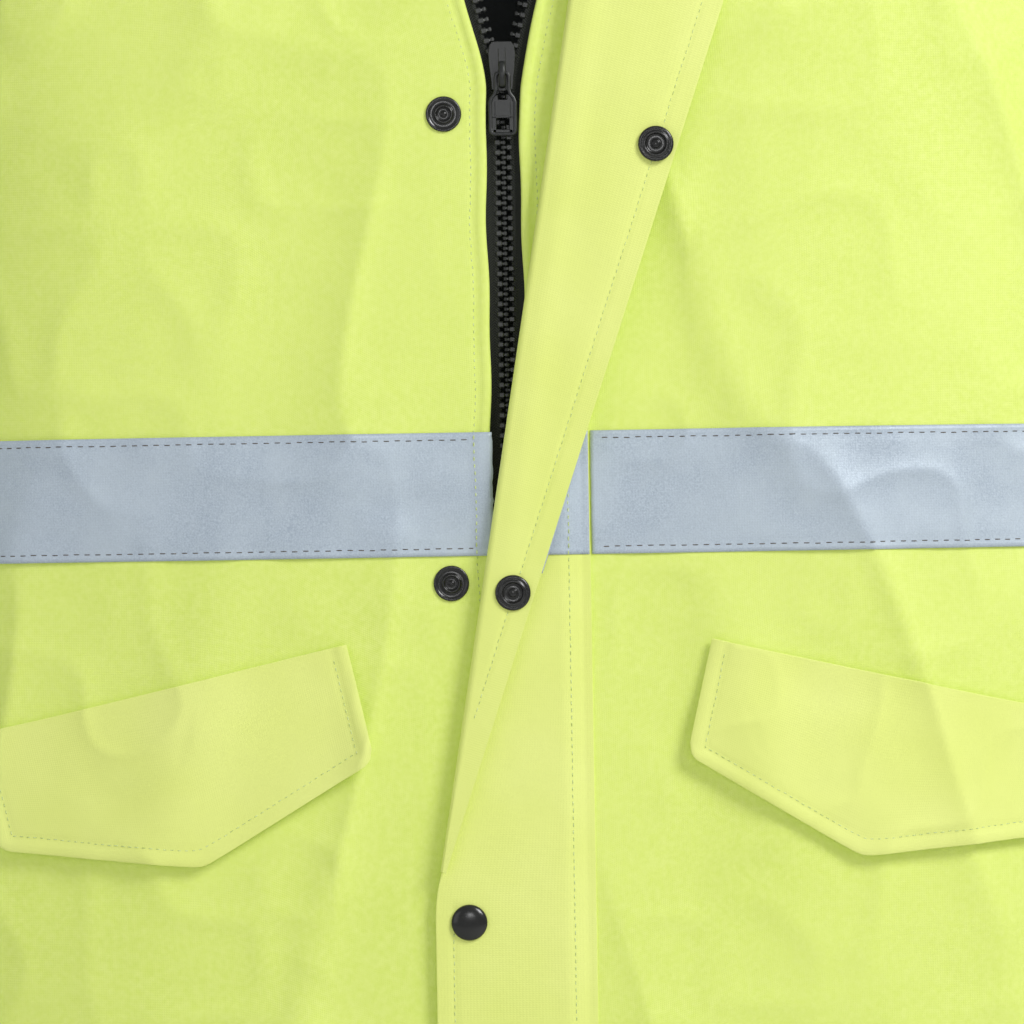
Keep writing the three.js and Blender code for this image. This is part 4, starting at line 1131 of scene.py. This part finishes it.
def band_rows(name, u, node, width):
    """A band of tape on the body's shell at the section parameters u, raised over the rolled zip edge."""
    x = section(u, band_z)[..., 0]
    over_edge = (0.0008 * (1 - smooth(0.004, 0.009, np.abs(x) - EDGE_HALF))
                 * (section(u, band_z)[..., 1] < BODY_Y))
    points = shell(u, band_z, tape_lift(x, band_z) + over_edge)
    band = grid_mesh(name, points, REFLECTIVE)
    piece(thickened(band, 0.0004), "root", "reflective_tape", node)
    declare(band, width, 0.052)
    return points


fray = 0.00045 * lattice_noise(np.stack(np.broadcast_arrays(0.0, 0.0, band_z), axis=-1), 0.0022, 43)
right_start = run_at(-(EDGE_HALF - 0.0003 + fray), band_z)
left_start = run_at(FLAP_SEAM + 0.0006 + 0.3 * fray, band_z)
share = np.linspace(0, 1, int(150 * FINE))[None, :]
band_rows("tape_right", mix(3.0, right_start, share), "right_chest_tape", 0.30)
band_rows("tape_left", mix(left_start, 1.0, share), "left_chest_tape", 0.27)
band_rows("tape_back", mix(1.0, 3.0, np.linspace(0, 1, int(220 * FINE)))[None, :], "back_chest_tape", 0.62)
strip_x = mix(base_edge(band_z) + 0.0005, FLAP_SEAM - 0.0004, np.linspace(0, 1, int(40 * FINE))[None, :])
strip_h = base_height(strip_x, band_z) + tape_lift(strip_x, band_z) * 0.5 + 0.0001
strip = np.stack(np.broadcast_arrays(strip_x, ZIP_Y - strip_h, HEM_Z + band_z), axis=-1)
flap_tape = grid_mesh("tape_flap_base", strip, REFLECTIVE)
piece(thickened(flap_tape, 0.0004), "root", "reflective_tape", "storm_flap_tape")
declare(flap_tape, 0.045, 0.052)
strip_out = mix(fold_round(band_z) + 0.0004, turned_width(band_z) + 0.0004,
                np.linspace(0, 1, int(40 * FINE))[None, :])
strip_back = turned_point(strip_out, band_z, turned_height(strip_out, band_z) - 0.0014 - 0.0001)
turned_tape = grid_mesh("tape_flap_turned", strip_back[:, ::-1], REFLECTIVE)
piece(thickened(turned_tape, 0.0004, 1.0), "storm_flap", "reflective_tape", "storm_flap_fold_tape")
declare(turned_tape, 0.045, 0.052)

# ---------------------------------------------------------------------------------------------------------
# Pockets: a slanting slot in each front with a welt round it, a pointed flap of the shell cloth sewn
# above it, and a bag of lining cloth that hangs between the shell and the lining.
# ---------------------------------------------------------------------------------------------------------
POCKET_WIDTH = 0.156
POCKET_SIDE = 0.051
POCKET_POINT = 0.077
WELT = 0.0055


def pocket_place(side_name, out, down, lift):
    """A point of the pocket out from its inner top corner and down from its top edge, both along the
    slant."""
    x = POCKET_X[side_name] + out * math.cos(POCKET_TILT) - down * math.sin(POCKET_TILT)
    z = POCKET_CORNER_Z - out * math.sin(POCKET_TILT) - down * math.cos(POCKET_TILT)
    return front(x if side_name == "left" else -x, z, lift)


def flap_lift(out, down, edge):
    """The pocket flap lies on the front, swells a little and stands off towards its free edges."""
    gap = np.minimum(np.minimum(out, POCKET_WIDTH - out), edge - down)
    groove = 0.0004 * np.exp(-(((gap - 0.0065) / 0.0012) ** 2))
    roll = 0.0005 * np.exp(-(((gap - 0.0025) / 0.0022) ** 2))
    where = np.stack(np.broadcast_arrays(out, down, 0.0), axis=-1)
    wave = 0.0010 * lattice_noise(where, 0.035, 51) * smooth(0.004, 0.03, down)
    hang = (0.0022 * smooth(0.010, 0.060, down)
            + 0.0016 * np.exp(-((out / 0.012) ** 2)) * smooth(0.01, 0.04, down))
    return 0.0028 + hang + wave - groove + roll


def corner_round(out):
    """How much the flap's lower edge rises at its two side corners."""
    gap = np.minimum(out, POCKET_WIDTH - out)
    return 0.005 * (1 - np.sqrt(np.clip(1 - (1 - np.clip(gap / 0.005, 0, 1)) ** 2, 0, 1)))


pocket_edges = {}
for side_name, side in (("right", -1), ("left", 1)):
    out = np.linspace(0, POCKET_WIDTH, int(90 * FINE))[None, :]
    peak = np.sqrt(((2 * out / POCKET_WIDTH - 1) ** 2) + 0.0012)
    edge = mix(POCKET_POINT, POCKET_SIDE, peak) - corner_round(out)
    down = 0.003 + (edge - 0.003) * (np.linspace(0, 1, int(48 * FINE))[:, None] ** 1.3)
    points = pocket_place(side_name, out, down, flap_lift(out, down, edge))
    pocket_edges[side_name] = (out, edge)
    flap = grid_mesh("pocket_flap_" + side_name, points if side < 0 else points[::-1], FLAP_INSIDE)
    piece(rounded_rim(thickened(flap, 0.0013)), None, "fluorescent_cloth", side_name + "_pocket_flap")
    top, lower = [pocket_place(side_name, np.array(0.078), np.array(d), 0.0028) for d in (0.0035, 0.014)]
    side_name + "_pocket_flap"
    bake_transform(flap)
    declare(flap, 0.158, 0.078)
    angle = np.arange(int(120 * FINE))[None, :] * 2 * np.pi / int(120 * FINE)
    wide = np.linspace(0, 1, 9)[:, None]
    blunt = [np.sign(f(angle)) * np.abs(f(angle)) ** 0.4 for f in (np.cos, np.sin)]
    welt_points = pocket_place(side_name, MOUTH[0] + (MOUTH_HALF[0] + WELT * wide) * blunt[0],
                               MOUTH[1] + (MOUTH_HALF[1] + WELT * wide) * blunt[1],
                               0.0002 + 0.0009 * np.sin(np.pi * wide) ** 0.5)
    welt = grid_mesh("pocket_welt_" + side_name, welt_points if side < 0 else welt_points[::-1], FLAP_INSIDE,
                     round_u=True)
    piece(thickened(welt, 0.0007), "root", "fluorescent_cloth")
    declare(welt, 0.32, 0.01)

    angle = np.arange(int(64 * FINE))[None, :] * 2 * np.pi / int(64 * FINE)
    deep = np.linspace(0, 1, int(40 * FINE))[:, None]
    narrow = 1 - 0.12 * smooth(0.75, 1.0, deep)
    bag_out = POCKET_WIDTH / 2 + (POCKET_WIDTH / 2 - 0.006) * narrow * np.cos(angle)
    full = np.sin(np.pi * np.clip(deep * 0.97 + 0.02, 0, 1)) ** 0.5
    bag_lift = -0.0098 + 0.0052 * full * np.sin(angle) * np.abs(np.sin(angle)) ** 0.3
    bag = pocket_place(side_name, bag_out, 0.006 + 0.134 * deep + 0 * angle, bag_lift)
    lining_bag = grid_mesh("pocket_bag_" + side_name, bag if side < 0 else bag[:, ::-1], LINING, round_u=True)
    piece(thickened(lining_bag, 0.0004), "root", "lining_cloth", side_name + "_pocket_bag")
    declare(lining_bag, 0.31, 0.14)

# ---------------------------------------------------------------------------------------------------------
# Collar and linings: a stand collar of the shell cloth that falls open with the unzipped top, lined like the
# body and the sleeves with charcoal taffeta, which hangs a little inside the shell.
# ---------------------------------------------------------------------------------------------------------
collar_u = np.linspace(EDGE_RUN, 4 - EDGE_RUN, int(240 * FINE))[None, :]
collar_v = np.linspace(0, 1, int(46 * FINE))[:, None]


def collar_shell(u, v, lift=0.0):
    """The collar's outside with the waves of a stiff cloth and the channels of its two rows of stitches."""
    plain = collar_plain(u, v)
    normal = outward(collar_plain, u, np.clip(v, 0.01, 0.99))
    wave = 0.0016 * lattice_noise(plain, 0.05, 61) + 0.0005 * lattice_noise(plain, 0.018, 62)
    groove = 0.0004 * (np.exp(-(((v - 0.055) / 0.014) ** 2)) + np.exp(-(((v - 0.925) / 0.014) ** 2)))
    base = smooth(0, 0.15, v)
    return plain + normal * (base * wave + (1 - base) * cloth_lift(plain) - groove + lift)[..., None]


collar_outer = collar_shell(collar_u, collar_v)
over = np.linspace(0, np.pi, 7)[1:]
rim_normal = outward(collar_plain, collar_u, np.full_like(collar_u, 0.99))
collar_roll = (collar_outer[-1:] - rim_normal * (0.0016 * (1 - np.cos(over)))[:, None, None]
               + np.array([0, 0, 1]) * (0.0016 * np.sin(over))[:, None, None])
collar_facing = collar_roll[-1:] - np.array([0, 0, 1]) * np.linspace(0, 0.018, 6)[1:, None, None]
collar_points = np.concatenate([collar_outer, collar_roll, collar_facing], axis=0)
collar = grid_mesh("collar_shell", collar_points, YELLOW)
piece(thickened(collar, CLOTH), "root", "fluorescent_cloth", "collar")
declare(collar, 0.48, 0.12)


def inside(place, u, v, depth, seed):
    """A lining: place(u, v) moved in by depth with loose waves."""
    plain = place(u, v)
    wave = 0.0018 * lattice_noise(plain, 0.05, seed) + 0.0008 * lattice_noise(plain, 0.02, seed + 1)
    return plain - outward(place, u, v) * (depth + wave)[..., None]


neck_lining = inside(collar_plain, collar_u, 0.02 + 0.94 * collar_v, 0.0066 + 0 * collar_u, 63)
lined_collar = grid_mesh("collar_inside", neck_lining, LINING)
piece(thickened(lined_collar, 0.0005), "root", "lining_cloth", "collar_lining")
declare(lined_collar, 0.46, 0.082)
lining_u = np.linspace(EDGE_RUN + 0.030, 4 - EDGE_RUN - 0.030, int(230 * FINE))[None, :]
lining_s = np.where(lining_u < 2, lining_u, 4 - lining_u)
lining_depth = 0.0085 + 0.014 * smooth(0.1, 0.18, lining_s) * (1 - 0.9 * smooth(1, 1.6, lining_s))
lining_z = 0.014 + (neck_seam(lining_u) - 0.016) * np.linspace(0, 1, int(150 * FINE))[:, None]
lining_points = inside(section, lining_u, lining_z, lining_depth + 0 * lining_z, 65)
body_lining = grid_mesh("body_lining_cloth", lining_points, LINING)
keep_faces(body_lining, without_armhole(lining_points))
piece(thickened(body_lining, 0.0005), "root", "lining_cloth", "body_lining")
declare(body_lining, 1.16, 0.80)
for side_name, side in (("left", 1), ("right", -1)):
    ring_u = np.arange(SLEEVE_ROUND)[None, :] / SLEEVE_ROUND
    ring_v = np.linspace(0.06, 0.955, int(90 * FINE))[:, None]
    tube = sleeve_shell(side, ring_u, ring_v, -0.0050)
    lined = grid_mesh("sleeve_inside_" + side_name, tube if side < 0 else tube[:, ::-1], LINING, round_u=True)
    piece(thickened(lined, 0.0005), None, "lining_cloth", side_name + "_sleeve_lining")
    swings(lined, side_name)
    declare(lined, 0.50, 0.66)
    ring_v = np.linspace(0.56, 0.66, int(26 * FINE))[:, None]
    band = sleeve_shell(side, ring_u, ring_v, 0.0008)
    arm_tape = grid_mesh("sleeve_tape_" + side_name, band if side < 0 else band[:, ::-1], REFLECTIVE,
                         round_u=True)
    piece(thickened(arm_tape, 0.0004), side_name + "_sleeve", "reflective_tape", side_name + "_sleeve_tape")
    declare(arm_tape, 0.44, 0.052)
    ring_v = np.linspace(0.936, 1.0, int(26 * FINE))[:, None]
    pad = 0.0012 + 0.0005 * np.sin(np.pi * np.linspace(0, 1, int(26 * FINE)))[:, None] + 0 * ring_u
    cuff = sleeve_shell(side, ring_u, ring_v, pad)
    cuff_band = grid_mesh("cuff_" + side_name, cuff if side < 0 else cuff[:, ::-1], YELLOW, round_u=True)
    piece(rounded_rim(thickened(cuff_band, 0.0012), 0.0004), side_name + "_sleeve", "fluorescent_cloth",
          side_name + "_cuff_band")
    declare(cuff_band, 0.36, 0.03)

# ---------------------------------------------------------------------------------------------------------
# Hanging loop: a black woven strap 8 mm wide, sewn in at the back of the neck and arched up between its ends.
# ---------------------------------------------------------------------------------------------------------
LOOP_HALF = 0.034
LOOP_RISE = 0.016
LOOP_WIDTH = 0.008
loop_turn = np.linspace(-0.10, np.pi + 0.10, int(70 * FINE))[:, None]
loop_across = np.linspace(-1, 1, 11)[None, :]
loop_crown = 0.0002 * (1 - loop_across**2)
loop_points = np.stack(np.broadcast_arrays(
    (LOOP_HALF - 0.0004 + loop_crown) * np.cos(loop_turn), -loop_across * LOOP_WIDTH / 2,
    (LOOP_RISE + loop_crown) * np.sin(loop_turn) - LOOP_RISE + 0.0016), axis=-1)
loop = grid_mesh("loop_strap", loop_points, WEBBING)
piece(thickened(loop, 0.0015), "root", "black_webbing", "hanging_loop")
declare(loop, 0.018, 0.094, held="folded")

# ---------------------------------------------------------------------------------------------------------
# Stitching: lockstitch rows in yellow-green thread along the zip edges, the flap, the collar and the pockets,
# and in dark thread along the reflective tape. Every stitch is a short bead that dips into the cloth.
# ---------------------------------------------------------------------------------------------------------
def thread(name, tone, light):
    """Twisted polyester thread."""
    material, place, feed = new_material(name, Specular_IOR_Level=0.4, Roughness=0.6)
    twist = place.node("TexNoise", None, {"Vector": place, "Scale": 2500.0, "Detail": 1.0})
    feed("Base Color", twist.between(0.35, 0.65).mixed(tone, light))
    return material


PALE_THREAD = thread("pale_thread", linear(176, 192, 96), linear(224, 238, 176))
DARK_THREAD = thread("dark_thread", linear(58, 54, 50), linear(118, 108, 98))


def row_of_stitches(name, path, normals, pitch, material, body, radius=0.00028, share=0.66):
    """Beads share * pitch long along a path: rings of six points at five stations, the end ones sunk in."""
    length = np.concatenate([[0], np.cumsum(np.linalg.norm(np.diff(path, axis=0), axis=-1))])
    centre = np.arange(pitch, length[-1] - pitch / 2, pitch)
    wander = np.random.default_rng(len(centre)).normal(0, 0.00008, (len(centre), 1))
    where = centre[:, None] + np.array([-0.5, -0.3, 0, 0.3, 0.5]) * share * pitch
    at = np.stack([np.interp(where, length, path[:, k]) for k in range(3)], axis=-1)
    up = unit(np.stack([np.interp(where, length, normals[:, k]) for k in range(3)], axis=-1))
    way = unit(at[:, 4:] - at[:, :1])
    across = unit(np.cross(way, up))
    thick = radius * np.array([0.45, 0.95, 1.0, 0.95, 0.45])
    rise = radius * np.array([-0.7, 0.15, 0.4, 0.15, -0.7])
    angle = np.arange(6) * np.pi / 3
    ring = (up[:, :, None] * np.cos(angle)[None, None, :, None]
            + across[:, :, None] * np.sin(angle)[None, None, :, None])
    points = ((at + up * rise[:, None] + across * wander[:, None])[:, :, None]
              + ring * thick[None, :, None, None])
    made = rings_mesh(name, points, material, smooth_faces=True)
    return piece(made, body, "fluorescent_cloth" if material is PALE_THREAD else "reflective_tape")


def path_normals(point_at, *lines):
    """A path and the normals along it, by moving the path 1 mm off its surface. point_at takes a lift
    last."""
    path = point_at(*lines, 0.0)
    return path, unit(point_at(*lines, 0.001) - path)


long_z = np.linspace(0.004, 0.695, 700)
for side_name, side in (("left", 1), ("right", -1)):
    line = edge_x(long_z, side) + EDGE_STITCH + EDGE_TURN
    path, normals = path_normals(front, side * line, long_z)
    on_tape = (long_z > TAPE_LOW) & (long_z < TAPE_HIGH) & (side < 0)
    path = path + normals * np.where(on_tape, 0.0011, -0.0003)[:, None]
    row_of_stitches("edge_stitches_" + side_name, path, normals, 0.0029, PALE_THREAD, "root")
for label in ("right", "left", "back"):
    for height in (TAPE_LOW + 0.003, TAPE_HIGH - 0.003):
        start, end = {"right": (3.001, run_at(np.array(-0.0085), np.array(height))),
                      "left": (run_at(np.array(FLAP_SEAM + 0.002), np.array(height)), 0.999),
                      "back": (1.001, 2.999)}[label]
        u = np.linspace(float(start), float(end), 900)
        level = np.full_like(u, height)
        lift = tape_lift(section(u, level)[:, 0], level)
        path, normals = path_normals(shell, u, level)
        name = "tape_stitches_%s_%d" % (label, round(height * 1000))
        row_of_stitches(name, path + normals * lift[:, None], normals, 0.0045, DARK_THREAD, "root",
                        0.00024, 0.7)
for side_name in ("right", "left"):
    out, edge = [line[0] for line in pocket_edges[side_name]]
    inner = (out > 0.0065) & (out < POCKET_WIDTH - 0.0065)
    down = np.concatenate([np.linspace(0.006, edge[inner][0] - 0.0068, 30), edge[inner] - 0.0068,
                           np.linspace(edge[inner][-1] - 0.0068, 0.006, 30)])
    along = np.concatenate([np.full(30, 0.0065), out[inner], np.full(30, POCKET_WIDTH - 0.0065)])
    lift = flap_lift(along, down, np.interp(along, out, edge))
    path, normals = path_normals(lambda a, d, more, s=side_name, up=lift: pocket_place(s, a, d, up + more),
                                 along, down)
    row = row_of_stitches("pocket_stitches_" + side_name, path, normals, 0.0029, PALE_THREAD, None, 0.00022)
    top, lower = [pocket_place(side_name, np.array(0.078), np.array(d), 0.0028) for d in (0.0035, 0.014)]
    side_name + "_pocket_flap"
    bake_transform(row)
turned_line = np.linspace(FOLD_Z + 0.075, FLAP_TOP - 0.009, 500)
line_out = turned_width(turned_line) - 0.0080
path = turned_point(line_out, turned_line, turned_height(line_out, turned_line))
forwards = np.tile([0.0, -1.0, 0.0], (500, 1))
row_of_stitches("flap_stitches_turned", path, forwards, 0.0029, PALE_THREAD, "storm_flap", 0.0002)
low_line = np.linspace(FLAP_BOTTOM + 0.002, FOLD_Z - 0.004, 400)
low_x = np.full(400, FLAP_FREE + 0.0072)
seam_line = np.linspace(FLAP_BOTTOM + 0.002, FLAP_TOP - 0.004, 700)
seam_x = FLAP_SEAM + parting(seam_line) - 0.0088
for label, x, z in (("free", low_x, low_line), ("seam", seam_x, seam_line)):
    on_tape = (z > TAPE_LOW) & (z < TAPE_HIGH)
    path = np.stack([x, ZIP_Y - base_height(x, z) - np.where(on_tape, 0.0006, 0.0), HEM_Z + z], axis=-1)
    row_of_stitches("flap_stitches_" + label, path, np.tile([0.0, -1.0, 0.0], (len(z), 1)), 0.0029,
                    PALE_THREAD, "root",
                    0.00024)
neck_u = np.linspace(EDGE_RUN + 0.01, 4 - EDGE_RUN - 0.01, 900)
for share in (0.055, 0.925):
    path, normals = path_normals(collar_shell, neck_u, np.full_like(neck_u, share))
    row_of_stitches("collar_stitches_%d" % round(share * 100), path, normals, 0.0029, PALE_THREAD, "root")
